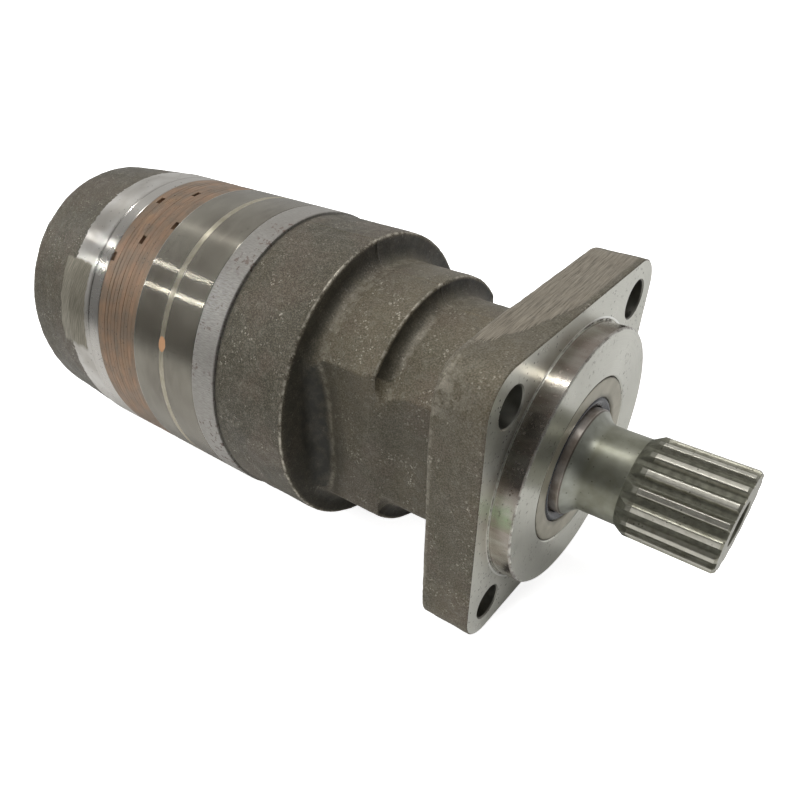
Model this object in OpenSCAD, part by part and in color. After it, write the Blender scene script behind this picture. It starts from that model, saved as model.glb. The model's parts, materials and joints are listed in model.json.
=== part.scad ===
// Orbital hydraulic motor: roller rotor set with six lobes and seven rollers, four-bolt square flange
// and a 17 tooth splined shaft. Millimetres. The motor axis is X, and the shaft end points to +X.
// The origin is the centre of the flange's mounting face. +Z is up, and the flange sides are level.
// Angles about the axis are counted from +Y towards +Z.

/* [Mounting flange] */
// Width of the square flange across its flat sides
flange_w = 119; // [117:0.5:128]
// Thickness of the flange
flange_t = 21; // [17:0.5:25]
// Radius of the flange's four corners
flange_corner_r = 14.6; // [12:0.2:17]
// Diameter of the circle through the four bolt holes
bolt_circle_d = 127; // [125:0.5:130]
// Diameter of the four bolt holes
bolt_hole_d = 14.3; // [11:0.1:15]
// Diameter of the locating pilot
pilot_d = 101.6; // [95:0.1:104]
// Height of the pilot above the mounting face
pilot_h = 8.6; // [7:0.1:12]

/* [Housing casting] */
// Diameter of the ground plates behind the casting
barrel_d = 128; // [127:0.5:136]
// How far the cast barrel lies under the ground plates
cast_step = 0.9; // [0.4:0.1:1.5]
// Length of the cast barrel
cast_len = 37.4; // [34:0.2:48]
// Diameter of the middle neck
mid_neck_d = 106; // [102:0.5:114]
// Width of the middle neck across its two cast flats
mid_neck_flats = 83.4; // [82:0.2:90]
// Length of the middle neck
mid_neck_len = 30.3; // [28:0.1:40]
// Diameter of the front neck behind the flange
front_neck_d = 91; // [87:0.5:94]
// Width of the front neck across its two cast flats
front_neck_flats = 74.6; // [72:0.2:78]
// Length of the front neck
front_neck_len = 36; // [32:0.5:44]
// Radius of the cast fillets at the foot of the shoulders
shoulder_fillet_r = 5; // [3:0.5:7]
// Radius of the larger fillets where the flats meet the barrel's shoulder
flat_fillet_r = 8; // [6:0.5:10]
// Length over which the flats draw in between the two necks
flats_bend_len = 20; // [12:1:22]
// Radius of the cast edges of the shoulders
shoulder_edge_r = 2; // [1:0.5:3]

/* [Rotor set] */
// Width of the stator ring along the axis
stator_len = 38.6; // [20:0.2:50]
// Diameter of the circle through the roller centres
roller_circle_d = 80; // [78:0.5:82]
// Diameter of each of the seven rollers
roller_d = 15.2; // [14:0.1:15.6]
// Offset of the rotor's centre from the motor axis
orbit_e = 3.3; // [2.8:0.05:3.4]
// Thickness of the wear plate
wear_plate_t = 12.8; // [9:0.2:16]

/* [Commutation stack] */
// Thickness of one manifold plate
plate_t = 2.38; // [2:0.02:3]
// Thickness of the commutator ring
ring_t = 7.1; // [6:0.1:9]
// Diameter of the commutator disc
commutator_d = 66; // [62:0.5:68]
// Radius of the drive link's hole through the manifold
manifold_bore_r = 15; // [14.5:0.1:16]
// Width of the keying notch in each manifold plate
key_w = 3; // [2:0.2:4]

/* [End cover] */
// Length of the end cover
cover_len = 54; // [48:0.5:64]
// How much smaller the cover's radius is at its back
cover_taper = 2.7; // [1:0.1:3]
// Radius of the cover's back edge
cover_edge_r = 5; // [3:0.5:7]
// Diameter of the two ports at their threads' crests
port_d = 20.4; // [16:0.1:22]
// Depth of the two ports
port_depth = 18; // [14:0.5:22]
// Distance between the two ports
port_spacing = 42; // [38:0.5:44]
// How far the spot face reaches round each port
port_spot_rim = 6.5; // [4:0.5:7]
// Diameter of the circle through the seven cover bolts
cover_bolt_circle_d = 97; // [96:0.2:99]
// Diameter of the cover bolts
cover_bolt_d = 9.5; // [8:0.1:10]
// How far the cover bolts reach into the housing
cover_bolt_grip = 20; // [15:0.5:24]

/* [Output shaft] */
// How far the shaft reaches beyond the mounting face
shaft_reach = 66.3; // [60:0.2:90]
// Diameter of the shaft's front journal
journal_d = 42; // [40:0.2:44]
// Diameter of the shaft's plain neck behind the spline
shaft_neck_d = 33.6; // [31:0.1:34]
// Outer diameter of the output spline
spline_d = 38.1; // [37.6:0.1:38.4]
// Length of the output spline with its run-out
spline_len = 36.3; // [25:0.1:42]
// Diameter of the bell that holds the drive link
bell_d = 62; // [60:0.2:63]
// Diameter of the tapped hole in the shaft's end
end_hole_d = 8.6; // [6:0.1:12]
// Depth of the tapped hole to the start of its cone
end_hole_depth = 17.5; // [12:0.5:24]
// Diameter of the shallow recess round the mouth of the tapped hole
end_recess_d = 16.8; // [14:0.2:20]

/* [Bearings and seals] */
// Diameter of the needle rollers
needle_d = 3.5; // [3:0.1:3.8]
// Wall of the drawn bearing shells
shell_wall = 2.4; // [1.6:0.1:2.6]
// Length of the front bearing
front_bearing_len = 25; // [20:0.5:26]
// Outer diameter of the dust seal in the pilot face
dust_seal_d = 66; // [62:0.5:72]
// Thickness of the dust seal
dust_seal_t = 8; // [6:0.1:8.4]
// Outer diameter of the shaft seal
shaft_seal_d = 58; // [56:0.5:60]
// Thickness of the shaft seal
shaft_seal_t = 8.5; // [6:0.1:10]
// Thickness of the backup washer
backup_t = 3; // [2:0.1:4]
// Thickness of the two thrust washers
thrust_washer_t = 3; // [2:0.1:4]
// Diameter of the thrust bearings' rollers
thrust_roller_d = 3; // [2.5:0.1:3.5]
// Width of the square body seals
body_seal_w = 3; // [2:0.1:3.4]

/* [Drive link] */
// Outer diameter of the link's two crowned spline heads
link_head_d = 37; // [36:0.1:38]
// Diameter of the link's stem between the heads
link_stem_d = 23; // [20:0.2:26]
// Diameter of the link's nose in the commutator
link_nose_d = 15.2; // [14:0.1:16]
// Length of the front head
front_head_len = 14; // [10:0.5:16]
// Length of the head in the rotor
rotor_head_len = 18; // [12:0.5:18]

/* [Hidden] */
$fn = 96;

// Clearances
run_gap = 0.05;          // radial gap of a running fit
face_gap = 0.03;         // gap on each side of a thrust roller
side_gap = 0.05;         // gap at each end of the rotor, its rollers and the commutator
roller_gap = 0.06;       // gap between the rotor and its rollers
link_gap = 0.45;         // gap at the flanks of the drive link's crowned teeth
tip_gap = 0.6;           // gap over the crests of the drive link's teeth
bolt_gap = 0.35;         // radial gap of the cover bolts in their through holes
thread_gap = 0.04;       // radial gap of the cover bolts in their tapped holes
cut = 1;                 // overshoot of a cutting solid

// Number of plates in the manifold
manifold_plates = 11;

// Stations along the axis, from the flange to the back
x_flange_back = -flange_t;
x_front_neck = x_flange_back - front_neck_len;
x_mid_neck = x_front_neck - mid_neck_len;
x_wear = x_mid_neck - cast_len;
x_stator = x_wear - wear_plate_t;
x_manifold = x_stator - stator_len;
x_ring = x_manifold - manifold_plates * plate_t;
x_cover = x_ring - ring_t;
x_back = x_cover - cover_len;

// Front stack, from the pilot face back to the shaft's shoulder
front_land_t = 2.6;
seal_space = 1;
x_dust_floor = pilot_h - dust_seal_t;
x_front_bearing = x_dust_floor - front_land_t;
x_shaft_seal = x_front_bearing - front_bearing_len - seal_space;
x_backup = x_shaft_seal - shaft_seal_t;
x_front_washer = x_backup - backup_t;
x_front_rollers = x_front_washer - thrust_washer_t - face_gap;
x_shoulder = x_front_rollers - thrust_roller_d - face_gap;

// Rear stack, from the wear plate forward to the shaft's rear face
x_rear_washer = x_wear + thrust_washer_t;
x_rear_rollers = x_rear_washer + face_gap;
x_shaft_back = x_rear_rollers + thrust_roller_d + face_gap;

// Inner bearing
bearing_step = 5;
inner_bearing_end_gap = 6;
x_inner_bearing = x_front_neck - bearing_step;
inner_bearing_len = x_inner_bearing - x_shaft_back - inner_bearing_end_gap;
journal_r = journal_d / 2;
bell_r = bell_d / 2;
front_shell_r = journal_r + needle_d + 2 * run_gap + shell_wall;
inner_shell_r = bell_r + needle_d + 2 * run_gap + shell_wall;
lip_t = 1.2;
front_needles = 22;
inner_needles = 30;
thrust_rollers = 20;
thrust_bore_r = bell_r + 1.2;
washer_hole_r = journal_r + 0.6;
roller_in_r = journal_r + 2.5;
roller_out_r = bell_r - 0.5;

// Rotor set: the rotor has one lobe fewer than there are rollers
LOBES = 6;
ROLLERS = LOBES + 1;
roller_r = roller_d / 2;
roller_circle_r = roller_circle_d / 2;
chamber_gap = 0.4;
chamber_r = roller_circle_r + 2 * orbit_e - roller_r + chamber_gap;
x_rotor_mid = x_stator - stator_len / 2;

// Drive link: it pivots in the shaft, and its axis leans to the rotor's centre
pivot_set_back = 15;
x_pivot = x_front_neck - pivot_set_back;
pivot_to_rotor = x_pivot - x_rotor_mid;
x_commutator_mid = x_ring - ring_t / 2;
pivot_to_commutator = x_pivot - x_commutator_mid;
link_lean = atan(orbit_e / pivot_to_rotor);
commutator_e = pivot_to_commutator * tan(link_lean);
link_to_rotor = pivot_to_rotor / cos(link_lean);
link_to_nose = pivot_to_commutator / cos(link_lean);
link_teeth = 12;
nose_teeth = 8;
link_head_r = link_head_d / 2;
link_tooth_h = 3;
link_nose_r = link_nose_d / 2;
nose_tooth_h = 1.6;
nose_len = ring_t - 0.5;
link_tail_r = 5.6;
shaft_bore_r = link_head_r + 2;

// Output spline: 30 degree involute teeth of 12 diametral pitch, with the pitch circle one addendum inside the tips
inch = 25.4;
spline_teeth = 17;
diametral_pitch = 12;
pressure_angle = 30;
spline_addendum = inch / diametral_pitch / 2;
pitch_r = spline_d / 2 - spline_addendum;
spline_root_depth = 2.05;
spline_root_r = spline_d / 2 - spline_root_depth;
x_spline = shaft_reach - spline_len;

// Commutation stack
port_circle_in = 23;
port_circle_out = 35;
port_hole_in = 3;
port_hole_out = 3.5;
commutator_r = commutator_d / 2;
commutator_gap = 0.1;
commutator_ring_r = commutator_r + commutator_e + commutator_gap;
// Angle of each plate's keying notch, so that the plates can only be stacked in one order
key_angles = [114, 34, 44, 54, 94, 124, 24, 64, 14, 104, 134];
key_depth = 2;

// Fasteners
cover_bolt_circle_r = cover_bolt_circle_d / 2;
bolt_head_af = cover_bolt_d * 1.5;
bolt_head_h = 6.4;

// Body seals, midway between the cover bolts' holes and the barrel's surface
seal_depth = 2;
bolt_hole_edge_r = cover_bolt_circle_r + cover_bolt_d / 2 + bolt_gap;
seal_mid_r = (bolt_hole_edge_r + barrel_d / 2) / 2;
seal_out_r = seal_mid_r + body_seal_w / 2;
seal_in_r = seal_mid_r - body_seal_w / 2;

// Colours
cast_grey = "#5b574c";
turned_steel = "#b9b8ae";
ground_steel = "#8b8a84";
dark_steel = "#4f4d49";
copper_tan = "#a5806a";
bright_steel = "#c9c9c4";
rubber = "#2a2c30";
seal_tan = "#9b9483";
bronze = "#a98548";

// Turns a drawing in Y and Z so that its extrusion runs along +X
module along_x(x = 0) { translate([x, 0, 0]) rotate([90, 0, 90]) children(); }

// A disc about the motor axis between two stations
module disc(x0, x1, r) { along_x(min(x0, x1)) cylinder(r = r, h = abs(x1 - x0)); }

// A plain ring about the motor axis between two stations
module ring(x0, x1, r_out, r_in) {
    difference() {
        disc(x0, x1, r_out);
        disc(min(x0, x1) - cut, max(x0, x1) + cut, r_in);
    }
}

// A turned piece from a closed outline of [station, radius] points
module turned(outline) { along_x() rotate_extrude() polygon([for (p = outline) [p[1], p[0]]]); }

// Repeats its children evenly about the motor axis, the first at the angle given
module around(n, first = 0) { for (k = [0 : n - 1]) rotate([first + 360 / n * k, 0, 0]) children(); }

// A ring of round holes along the axis
module hole_circle(x0, x1, n, first, circle_r, hole_r) {
    around(n, first) translate([0, circle_r, 0]) disc(x0 - cut, x1 + cut, hole_r);
}

// A straight drilling between two points in the plane of X and Z
module drilling(p, q, r) {
    run = q - p;
    translate([p[0], 0, p[1]]) rotate([0, atan2(run[0], run[1]), 0]) cylinder(r = r, h = norm(run));
}

// Points along an arc
function arc(x, y, r, a0, a1, n = 6) = [for (k = [0 : n]) let (a = a0 + (a1 - a0) * k / n)
    [x + r * cos(a), y + r * sin(a)]];

// Involute of a pressure angle, in degrees of half tooth
function involute(a) = tan(a) * 180 / PI - a;

// Outline of an involute spline. extra widens each tooth at both flanks, and is negative for a hub
function spline_outline(teeth, r_pitch, r_root, r_tip, extra = 0, steps = 3) = [
    for (k = [0 : teeth - 1]) let (mid = 360 / teeth * k, base = r_pitch * cos(pressure_angle),
        half = 90 / teeth + extra / r_pitch * 180 / PI + involute(pressure_angle))
    each concat(
        [for (s = [0 : steps]) let (r = r_root + (r_tip - r_root) * s / steps,
            a = mid - half + involute(acos(min(1, base / r)))) [r * cos(a), r * sin(a)]],
        [for (s = [steps : -1 : 0]) let (r = r_root + (r_tip - r_root) * s / steps,
            a = mid + half - involute(acos(min(1, base / r)))) [r * cos(a), r * sin(a)]])];

// Outlines of the drive link's teeth and of the hub teeth that they run in
function link_outline(teeth, r_tip, tooth_h) =
    spline_outline(teeth, r_tip - tooth_h / 2, r_tip - tooth_h, r_tip, -link_gap / 2);
function hub_outline(teeth, r_tip, tooth_h) =
    spline_outline(teeth, r_tip - tooth_h / 2, r_tip - tooth_h + tip_gap, r_tip + tip_gap, link_gap / 2);

// Path of a roller's centre as the rotor sees it, and the rotor's outline one roller radius inside it
function roller_path(t) = [roller_circle_r * cos(t) - orbit_e * cos(ROLLERS * t),
    roller_circle_r * sin(t) - orbit_e * sin(ROLLERS * t)];
function path_heading(t) = let (v = [-roller_circle_r * sin(t) + ROLLERS * orbit_e * sin(ROLLERS * t),
    roller_circle_r * cos(t) - ROLLERS * orbit_e * cos(ROLLERS * t)]) v / norm(v);
even_out = 2.9;
rotor_points = 240;
function rotor_outline() = [for (k = [0 : rotor_points - 1])
    let (s = 360 / rotor_points * k, t = s - even_out * sin(LOBES * s), h = path_heading(t))
    roller_path(t) + (roller_r + roller_gap) * [-h[1], h[0]]];

// Places a piece that is drawn about the X axis on the leaning axis of the drive link
module on_link_axis() {
    translate([x_pivot, 0, 0]) rotate([0, 0, -link_lean]) children();
}

// The casting's turned outside, from its rear face to the back of the flange
module housing_turned() {
    cast_r = barrel_d / 2 - cast_step;
    mid_r = mid_neck_d / 2;
    front_r = front_neck_d / 2;
    e = shoulder_edge_r;
    f = shoulder_fillet_r;
    turned(concat([[x_wear, 0], [x_wear, cast_r - 0.8], [x_wear + 0.8, cast_r]],
        arc(x_mid_neck - e, cast_r - e, e, 90, 0, 3),
        arc(x_mid_neck + f, mid_r + f, f, 180, 270),
        arc(x_front_neck - e, mid_r - e, e, 90, 0, 3),
        arc(x_front_neck + f, front_r + f, f, 180, 270),
        arc(x_flange_back - f, front_r + f, f, 270, 360),
        [[x_flange_back + cut, front_r + f], [x_flange_back + cut, 0]]));
}

// Plan outline that cuts the two cast flats into the neck. They draw in by a soft double bend, half before the
// step between the necks and half after it
module flats_plan() {
    wide = barrel_d / 2 + cut;
    mid = mid_neck_flats / 2;
    front = front_neck_flats / 2;
    f = shoulder_fillet_r;
    big_f = flat_fillet_r;
    step = mid - front;
    x_bend = x_front_neck - flats_bend_len / 2;
    bend_r = (flats_bend_len ^ 2 + step ^ 2) / (4 * step);
    bend_a = 2 * atan(step / flats_bend_len);
    side = concat([[x_wear - cut, wide], [x_mid_neck, wide]],
        arc(x_mid_neck + big_f, mid + big_f, big_f, 180, 270),
        arc(x_bend, mid - bend_r, bend_r, 90, 90 - bend_a),
        arc(x_bend + flats_bend_len, front + bend_r, bend_r, 270 - bend_a, 270),
        arc(x_flange_back - f, front + f, f, 270, 360),
        [[x_flange_back + 2 * cut, front + f]]);
    translate([0, 0, -wide]) linear_extrude(2 * wide)
        polygon(concat(side, [for (k = [len(side) - 1 : -1 : 0]) [side[k][0], -side[k][1]]]));
}

// The square flange with round corners about the bolt holes
module flange_plate() {
    flat = flange_w - 2 * flange_corner_r;
    along_x(-flange_t) linear_extrude(flange_t) union() {
        square([flange_w, flat], center = true);
        square([flat, flange_w], center = true);
        for (y = [-1, 1], z = [-1, 1]) translate([y, z] * flat / 2) circle(r = flange_corner_r);
    }
}

module front_housing() {
    pilot_chamfer = 0.6;
    color(cast_grey) difference() {
        union() {
            intersection() {
                housing_turned();
                flats_plan();
            }
            flange_plate();
            turned([[-cut, 0], [-cut, pilot_d / 2], [pilot_h - pilot_chamfer, pilot_d / 2],
                [pilot_h, pilot_d / 2 - pilot_chamfer], [pilot_h, 0]]);
        }
        disc(x_dust_floor, pilot_h + cut, dust_seal_d / 2);
        disc(x_wear - cut, pilot_h, journal_r + 3);
        disc(x_wear - cut, x_front_bearing, front_shell_r);
        disc(x_wear - cut, x_shaft_seal, shaft_seal_d / 2);
        disc(x_wear - cut, x_front_washer, thrust_bore_r + 0.2);
        disc(x_wear - cut, x_inner_bearing, inner_shell_r);
        ring(x_wear - cut, x_wear + seal_depth, seal_out_r, seal_in_r);
        hole_circle(-flange_t, 0, 4, 45, bolt_circle_d / 2, bolt_hole_d / 2);
        around(ROLLERS, 180 / ROLLERS) translate([0, cover_bolt_circle_r, 0])
            disc(x_wear - cut, x_wear + cover_bolt_grip + 2, cover_bolt_d / 2 + thread_gap);
    }
}

// The stamped case of the dust seal, with a small step down to its lip
dust_lip_h = 5;
dust_lip_r = journal_r + dust_lip_h;
dust_case_step = 0.5;
module dust_seal_case() {
    rim_r = dust_lip_r + 1.2;
    color(seal_tan) turned([[x_dust_floor, dust_lip_r], [x_dust_floor, dust_seal_d / 2],
        [pilot_h, dust_seal_d / 2], [pilot_h, rim_r], [pilot_h - dust_case_step, rim_r - dust_case_step],
        [pilot_h - dust_case_step, dust_lip_r]]);
}

// The rubber lip moulded to the case, which wipes the journal over a narrow land
module dust_seal_lip() {
    wipe_r = journal_r + run_gap;
    slope = 1.6;
    land_start = x_dust_floor + dust_seal_t * 0.4;
    land_w = 0.8;
    brim_x = pilot_h - 2 * dust_case_step;
    color(rubber) turned([[x_dust_floor, dust_lip_r], [x_dust_floor, wipe_r + slope], [land_start, wipe_r],
        [land_start + land_w, wipe_r], [land_start + land_w + slope, wipe_r + slope],
        [brim_x, wipe_r + 2 * slope], [brim_x, dust_lip_r]]);
}

// A drawn bearing shell with its two turned-in lips
module bearing_shell(x_front, len, race_r) {
    raceway = race_r + needle_d + 2 * run_gap;
    lip = race_r + 1.3;
    x_rear = x_front - len;
    color(bright_steel) turned([[x_rear, lip], [x_rear, raceway + shell_wall], [x_front, raceway + shell_wall],
        [x_front, lip], [x_front - lip_t, lip], [x_front - lip_t, raceway], [x_rear + lip_t, raceway],
        [x_rear + lip_t, lip]]);
}

// The needle rollers of a radial bearing, or the cutters for their pockets when grown
module needles(x_front, len, race_r, n, grow = 0) {
    ends = lip_t + 1.8 - grow;
    hole_r = needle_d / 2 + grow;
    around(n) translate([0, race_r + run_gap + needle_d / 2, 0]) disc(x_front - len + ends, x_front - ends, hole_r);
}

// The cage that keeps the needle rollers apart
module needle_cage(x_front, len, race_r, n) {
    ends = lip_t + 0.3;
    mid = race_r + run_gap + needle_d / 2;
    color(bronze) difference() {
        ring(x_front - len + ends, x_front - ends, mid + 1, mid - 0.9);
        needles(x_front, len, race_r, n, 0.1);
    }
}

// Radial rollers of a thrust bearing between two stations
module thrust_roller_set(x_mid, grow = 0) {
    around(thrust_rollers) translate([x_mid, roller_in_r - grow, 0]) rotate([-90, 0, 0])
        cylinder(r = thrust_roller_d / 2 + grow, h = roller_out_r - roller_in_r + 2 * grow);
}

module thrust_cage(x_mid) {
    half = thrust_roller_d * 0.35;
    color(bronze) difference() {
        ring(x_mid - half, x_mid + half, roller_out_r + 0.4, roller_in_r - 0.6);
        thrust_roller_set(x_mid, 0.1);
    }
}

module front_bearing_shell() { bearing_shell(x_front_bearing, front_bearing_len, journal_r); }
module front_bearing_cage() { needle_cage(x_front_bearing, front_bearing_len, journal_r, front_needles); }
module front_bearing_rollers() {
    color(bright_steel) needles(x_front_bearing, front_bearing_len, journal_r, front_needles);
}

module shaft_seal() {
    wipe_r = journal_r + run_gap;
    wall = 2;
    web = 2.5;
    land_w = 1;
    x_land = x_backup + wall;
    color(rubber) turned([[x_backup, shaft_seal_d / 2], [x_backup, wipe_r + 0.8], [x_land, wipe_r],
        [x_land + land_w, wipe_r], [x_land + 2 * land_w, wipe_r + land_w], [x_backup + web, wipe_r + web],
        [x_backup + web, shaft_seal_d / 2 - wall], [x_shaft_seal, shaft_seal_d / 2 - wall],
        [x_shaft_seal, shaft_seal_d / 2]]);
}

module backup_washer() {
    color(bright_steel) ring(x_backup, x_front_washer, shaft_seal_d / 2, washer_hole_r);
}

module front_thrust_washer() {
    color(ground_steel) ring(x_front_washer, x_front_washer - thrust_washer_t, thrust_bore_r, washer_hole_r);
}

x_front_thrust = x_front_rollers - thrust_roller_d / 2;
module front_thrust_cage() { thrust_cage(x_front_thrust); }
module front_thrust_rollers() { color(bright_steel) thrust_roller_set(x_front_thrust); }

// The one-piece shaft: splined end, journal and the hollow bell that takes the drive link
module output_shaft() {
    seal_stand = 2;
    cone_len = 4.3;
    x_journal_end = pilot_h + seal_stand;
    neck_r = shaft_neck_d / 2;
    edge = 1;
    run_out = 3.6;
    x_socket_front = x_pivot + front_head_len / 2 + 1;
    x_socket_back = x_pivot - front_head_len / 2 - 1;
    relief = 4;
    x_hole_end = shaft_reach - end_hole_depth;
    recess_t = 2;
    countersink = 1;
    x_recess = shaft_reach - recess_t;
    color(turned_steel) difference() {
        turned([[x_shaft_back, 0], [x_shaft_back, bell_r - edge], [x_shaft_back + edge, bell_r],
            [x_shoulder - edge, bell_r], [x_shoulder, bell_r - edge], [x_shoulder, journal_r],
            [x_journal_end, journal_r], [x_journal_end + cone_len, neck_r], [x_spline, neck_r],
            [x_spline + run_out, spline_d / 2], [shaft_reach - edge, spline_d / 2],
            [shaft_reach, spline_d / 2 - edge], [shaft_reach, 0]]);
        along_x(x_spline) linear_extrude(spline_len + cut) difference() {
            circle(r = spline_d / 2 + cut);
            polygon(spline_outline(spline_teeth, pitch_r, spline_root_r, spline_d / 2 + 0.02));
        }
        disc(x_shaft_back - cut, x_socket_back, shaft_bore_r);
        disc(x_socket_front, x_socket_front + relief, link_head_r + tip_gap + 0.2);
        along_x(x_socket_back - cut) linear_extrude(x_socket_front - x_socket_back + 2 * cut)
            polygon(hub_outline(link_teeth, link_head_r, link_tooth_h));
        turned([[x_hole_end - end_hole_d / 4, 0], [x_hole_end, end_hole_d / 2],
            [x_recess - countersink, end_hole_d / 2], [x_recess, end_hole_d / 2 + countersink],
            [x_recess, end_recess_d / 2], [shaft_reach + cut, end_recess_d / 2], [shaft_reach + cut, 0]]);
    }
}

module inner_bearing_shell() { bearing_shell(x_inner_bearing, inner_bearing_len, bell_r); }
module inner_bearing_cage() { needle_cage(x_inner_bearing, inner_bearing_len, bell_r, inner_needles); }
module inner_bearing_rollers() {
    color(bright_steel) needles(x_inner_bearing, inner_bearing_len, bell_r, inner_needles);
}

x_rear_thrust = x_rear_rollers + thrust_roller_d / 2;
module rear_thrust_cage() { thrust_cage(x_rear_thrust); }
module rear_thrust_rollers() { color(bright_steel) thrust_roller_set(x_rear_thrust); }
module rear_thrust_washer() {
    color(ground_steel) ring(x_wear, x_rear_washer, thrust_bore_r, washer_hole_r);
}

// A crowned spline head, centred at a distance behind the pivot
module crowned_head(back, len, teeth, r_tip, tooth_h) {
    intersection() {
        along_x(-back - len / 2) linear_extrude(len) polygon(link_outline(teeth, r_tip, tooth_h));
        translate([-back, 0, 0]) rotate([0, 90, 0]) sphere(r = r_tip);
    }
}

// The dog-bone link that turns the shaft from the orbiting rotor and carries its motion to the commutator
module drive_link() {
    stem_r = link_stem_d / 2;
    neck = link_head_r - link_tooth_h;
    foot = 7;
    front = front_head_len / 2;
    rear_front = -link_to_rotor + rotor_head_len / 2;
    rear_back = -link_to_rotor - rotor_head_len / 2;
    nose_front = -link_to_nose + nose_len / 2;
    color(dark_steel) on_link_axis() union() {
        crowned_head(0, front_head_len, link_teeth, link_head_r, link_tooth_h);
        crowned_head(link_to_rotor, rotor_head_len, link_teeth, link_head_r, link_tooth_h);
        crowned_head(link_to_nose, nose_len, nose_teeth, link_nose_r, nose_tooth_h);
        turned([[front, 0], [front, neck - 4], [front - 2, neck - 1], [-front, neck - 1],
            [-front - foot, stem_r], [rear_front + foot, stem_r], [rear_front, neck - 1],
            [rear_back, neck - 1], [rear_back - foot, link_tail_r], [nose_front, link_tail_r],
            [-link_to_nose, link_tail_r], [-link_to_nose, 0]]);
    }
}

module wear_plate() {
    color(bright_steel) difference() {
        ring(x_wear, x_stator, barrel_d / 2, shaft_bore_r);
        cover_bolt_holes(x_stator, x_wear);
    }
}

// Clearance holes of the seven cover bolts, which pass between the rollers
module cover_bolt_holes(x0, x1) {
    hole_circle(x0, x1, ROLLERS, 180 / ROLLERS, cover_bolt_circle_r, cover_bolt_d / 2 + bolt_gap);
}

module stator_ring() {
    color(dark_steel) difference() {
        ring(x_manifold, x_stator, barrel_d / 2, chamber_r);
        hole_circle(x_manifold, x_stator, ROLLERS, 0, roller_circle_r, roller_r + run_gap);
        cover_bolt_holes(x_manifold, x_stator);
        ring(x_stator - seal_depth, x_stator + cut, seal_out_r, seal_in_r);
        ring(x_manifold - cut, x_manifold + seal_depth, seal_out_r, seal_in_r);
    }
}

// One loose roller in its pocket, the first of them on +Y
module stator_roller(k) {
    color(bright_steel) rotate([360 / ROLLERS * (k - 1), 0, 0]) translate([0, roller_circle_r, 0])
        disc(x_manifold + side_gap, x_stator - side_gap, roller_r);
}
module stator_roller_1() { stator_roller(1); }
module stator_roller_2() { stator_roller(2); }
module stator_roller_3() { stator_roller(3); }
module stator_roller_4() { stator_roller(4); }
module stator_roller_5() { stator_roller(5); }
module stator_roller_6() { stator_roller(6); }
module stator_roller_7() { stator_roller(7); }

// The six-lobed rotor, shown where its first valley holds the first roller
module rotor() {
    color(ground_steel) translate([0, orbit_e, 0]) along_x(x_manifold + side_gap)
        linear_extrude(stator_len - 2 * side_gap) difference() {
            polygon(rotor_outline());
            polygon(hub_outline(link_teeth, link_head_r, link_tooth_h));
        }
}

// Oil passage of one plate: outer holes at the stator, radial slots in the middle, inner holes at the back
module passage(k) {
    out_plates = 3;
    in_plates = 3;
    if (k <= out_plates) translate([port_circle_out, 0]) circle(r = port_hole_out);
    else if (k > manifold_plates - in_plates) translate([port_circle_in, 0]) circle(r = port_hole_in);
    else {
        translate([port_circle_in, -port_hole_in]) square([port_circle_out - port_circle_in, 2 * port_hole_in]);
        for (r = [port_circle_in, port_circle_out]) translate([r, 0]) circle(r = port_hole_in);
    }
}

// One plate of the manifold, counted from the stator
module manifold_plate(k) {
    x_plate = x_manifold - k * plate_t;
    color(copper_tan) difference() {
        disc(x_plate, x_plate + plate_t, barrel_d / 2);
        disc(x_plate - cut, x_plate + plate_t + cut, manifold_bore_r);
        cover_bolt_holes(x_plate, x_plate + plate_t);
        around(ROLLERS, 180 / ROLLERS) along_x(x_plate - cut) linear_extrude(plate_t + 2 * cut) passage(k);
        rotate([key_angles[k - 1], 0, 0])
            translate([x_plate - cut, barrel_d / 2 - key_depth, -key_w / 2]) cube([plate_t + 2 * cut, 4, key_w]);
    }
}
module manifold_plate_1() { manifold_plate(1); }
module manifold_plate_2() { manifold_plate(2); }
module manifold_plate_3() { manifold_plate(3); }
module manifold_plate_4() { manifold_plate(4); }
module manifold_plate_5() { manifold_plate(5); }
module manifold_plate_6() { manifold_plate(6); }
module manifold_plate_7() { manifold_plate(7); }
module manifold_plate_8() { manifold_plate(8); }
module manifold_plate_9() { manifold_plate(9); }
module manifold_plate_10() { manifold_plate(10); }
module manifold_plate_11() { manifold_plate(11); }

module commutator_ring() {
    color(bright_steel) difference() {
        ring(x_cover, x_ring, barrel_d / 2, commutator_ring_r);
        cover_bolt_holes(x_cover, x_ring);
        ring(x_ring - seal_depth, x_ring + cut, seal_out_r, seal_in_r);
    }
}

commutator_seal_out = commutator_r - 2.5;
commutator_seal_w = 2.5;
commutator_seal_depth = 2;

// The valve disc on the drive link's nose: six slots open to the outside, and a hole ring inside the seal
module commutator() {
    color(bronze) translate([0, commutator_e, 0]) difference() {
        disc(x_cover + side_gap, x_ring - side_gap, commutator_r);
        along_x(x_cover - cut) linear_extrude(ring_t + 2 * cut)
            polygon(hub_outline(nose_teeth, link_nose_r, nose_tooth_h));
        around(LOBES) along_x(x_cover + ring_t / 2) linear_extrude(ring_t) {
            translate([port_circle_in, -port_hole_in]) square([commutator_r, 2 * port_hole_in]);
            translate([port_circle_in, 0]) circle(r = port_hole_in);
        }
        hole_circle(x_cover, x_ring, LOBES, 180 / LOBES, port_circle_in - 4, port_hole_in - 0.4);
        ring(x_cover - cut, x_cover + side_gap + commutator_seal_depth, commutator_seal_out + run_gap,
            commutator_seal_out - commutator_seal_w - run_gap);
    }
}

// The face seal that rides in the back of the commutator and orbits with it
module commutator_seal() {
    color(rubber) translate([0, commutator_e, 0]) ring(x_cover + side_gap,
        x_cover + side_gap + commutator_seal_depth - side_gap, commutator_seal_out,
        commutator_seal_out - commutator_seal_w);
}

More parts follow.
